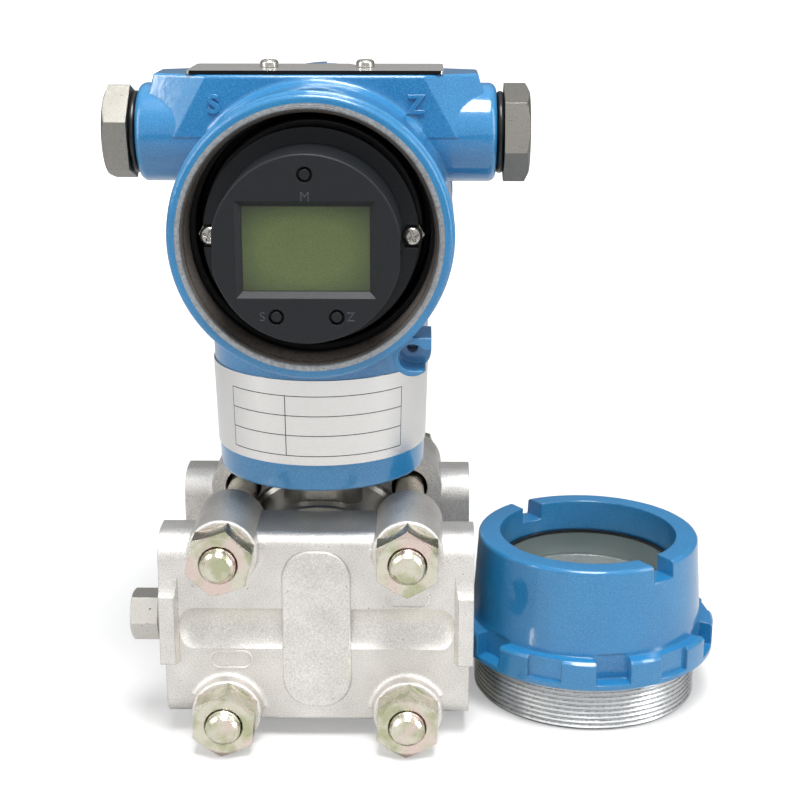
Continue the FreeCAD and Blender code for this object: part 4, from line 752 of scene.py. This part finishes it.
flangeFace = neck.y - border["beforeNeckMm"] * mm
for name, mark in castMarks.items():
    centre = (neck.x + mark["x"] * mm, flangeFace, mark["z"] * mm)
    castBorder(name, centre, mark["lengthMm"])
print("cast borders raised")


# floor, light and camera
white = (1, 1, 1, 1)
paper = {
    "size": 60,  # metres, so that its edge is never in view
    "colour": "#D6D6D6",
    "roughness": 0.7,
    "shine": 0.2,
    "fade": (0.25, 1.0),  # metres from the object, over which the paper turns to plain white
    "glow": (0.32, 1.0),
}

def studioFloor():
    # a sheet of white paper that keeps the object's shadow near it
    selectNone()
    bpy.ops.mesh.primitive_plane_add(size=paper["size"], location=(0, 0, 0))
    floor = bpy.context.active_object
    floor.name = "studio_floor"
    material, tree, shader, place = newMaterial(
        "white_studio_paper", Base_Color=hexColour(paper["colour"]), Roughness=paper["roughness"],
        Specular_IOR_Level=paper["shine"], Emission_Color=white)
    away = vectors(tree, "LENGTH", place, output="Value")
    seen = addNode(tree, "ShaderNodeLightPath").outputs["Is Camera Ray"]
    glow = sums(tree, "MULTIPLY", seen, remap(tree, away, *paper["fade"], *paper["glow"]))
    tree.links.new(glow, shader.inputs["Emission Strength"])
    floor.data.materials.append(material)

# what the room shows to polished faces: bright behind the camera and above, darker behind the object
room = {"ambient": 0.3, "across": (-0.3, 0.6, 0.9, 0.15), "ceiling": (0.4, 0.9, 0.2, 0.9)}

def studioWorld():
    world = bpy.data.worlds.new("white_studio")
    bpy.context.scene.world = world
    world.use_nodes = True
    tree = world.node_tree
    background = tree.nodes["Background"]
    rays = addNode(tree, "ShaderNodeLightPath").outputs
    direction = addNode(tree, "ShaderNodeTexCoord").outputs["Generated"]
    across = remap(tree, component(tree, direction, "Y"), *room["across"])
    ceiling = remap(tree, component(tree, direction, "Z"), *room["ceiling"])
    mirrored = sums(tree, "MAXIMUM", rays["Is Glossy Ray"], rays["Is Transmission Ray"])
    shown = sums(tree, "MULTIPLY", mirrored, sums(tree, "MAXIMUM", across, ceiling))
    plain = sums(tree, "MULTIPLY", sums(tree, "SUBTRACT", 1.0, mirrored), room["ambient"])
    soft = sums(tree, "ADD", shown, plain)
    tree.links.new(sums(tree, "MAXIMUM", soft, rays["Is Camera Ray"]), background.inputs["Strength"])
    background.inputs["Color"].default_value = white

# two tall strip lights at the sides and a large one overhead, in metres and watts
studio = {
    "left": {"place": (-0.75, -0.35, 0.45), "size": (0.1, 0.9), "power": 2.8},
    "right": {"place": (0.80, -0.30, 0.45), "size": (0.12, 0.9), "power": 3.3},
    "top": {"place": (0.05, -0.30, 0.95), "size": (0.36, 0.45), "power": 10},
}
lampTarget = Vector((0, 0, 0.1))

def softbox(name, place, size, power):
    selectNone()
    bpy.ops.object.light_add(type="AREA", location=place)
    lamp = bpy.context.active_object
    lamp.name = "softbox_" + name
    lamp.data.shape = "RECTANGLE"
    lamp.data.size, lamp.data.size_y = size
    lamp.data.energy = power
    aim = lampTarget - Vector(place)
    lamp.rotation_euler = aim.to_track_quat("-Z", "Y").to_euler()

studioFloor()
studioWorld()
for name, lamp in studio.items():
    softbox(name, **lamp)

camera = {
    "fromNeckMm": (30.1, -457.5, 225.6),  # from the foot of the neck's axis, on the ground
    "lens": 72,  # mm
    "sensor": 36,  # mm
    "pitch": 73.71,  # degrees up from straight down
    "yaw": 0.86,  # degrees to the left
}
selectNone()
bpy.ops.object.camera_add(
    location=Vector((neck.x, neck.y, 0)) + Vector(camera["fromNeckMm"]) * mm,
    rotation=(math.radians(camera["pitch"]), 0, math.radians(camera["yaw"])))
view = bpy.context.active_object
view.data.lens = camera["lens"]
view.data.sensor_width = camera["sensor"]
bpy.context.scene.camera = view
bpy.context.scene.view_settings.view_transform = "Standard"
print("studio lit")
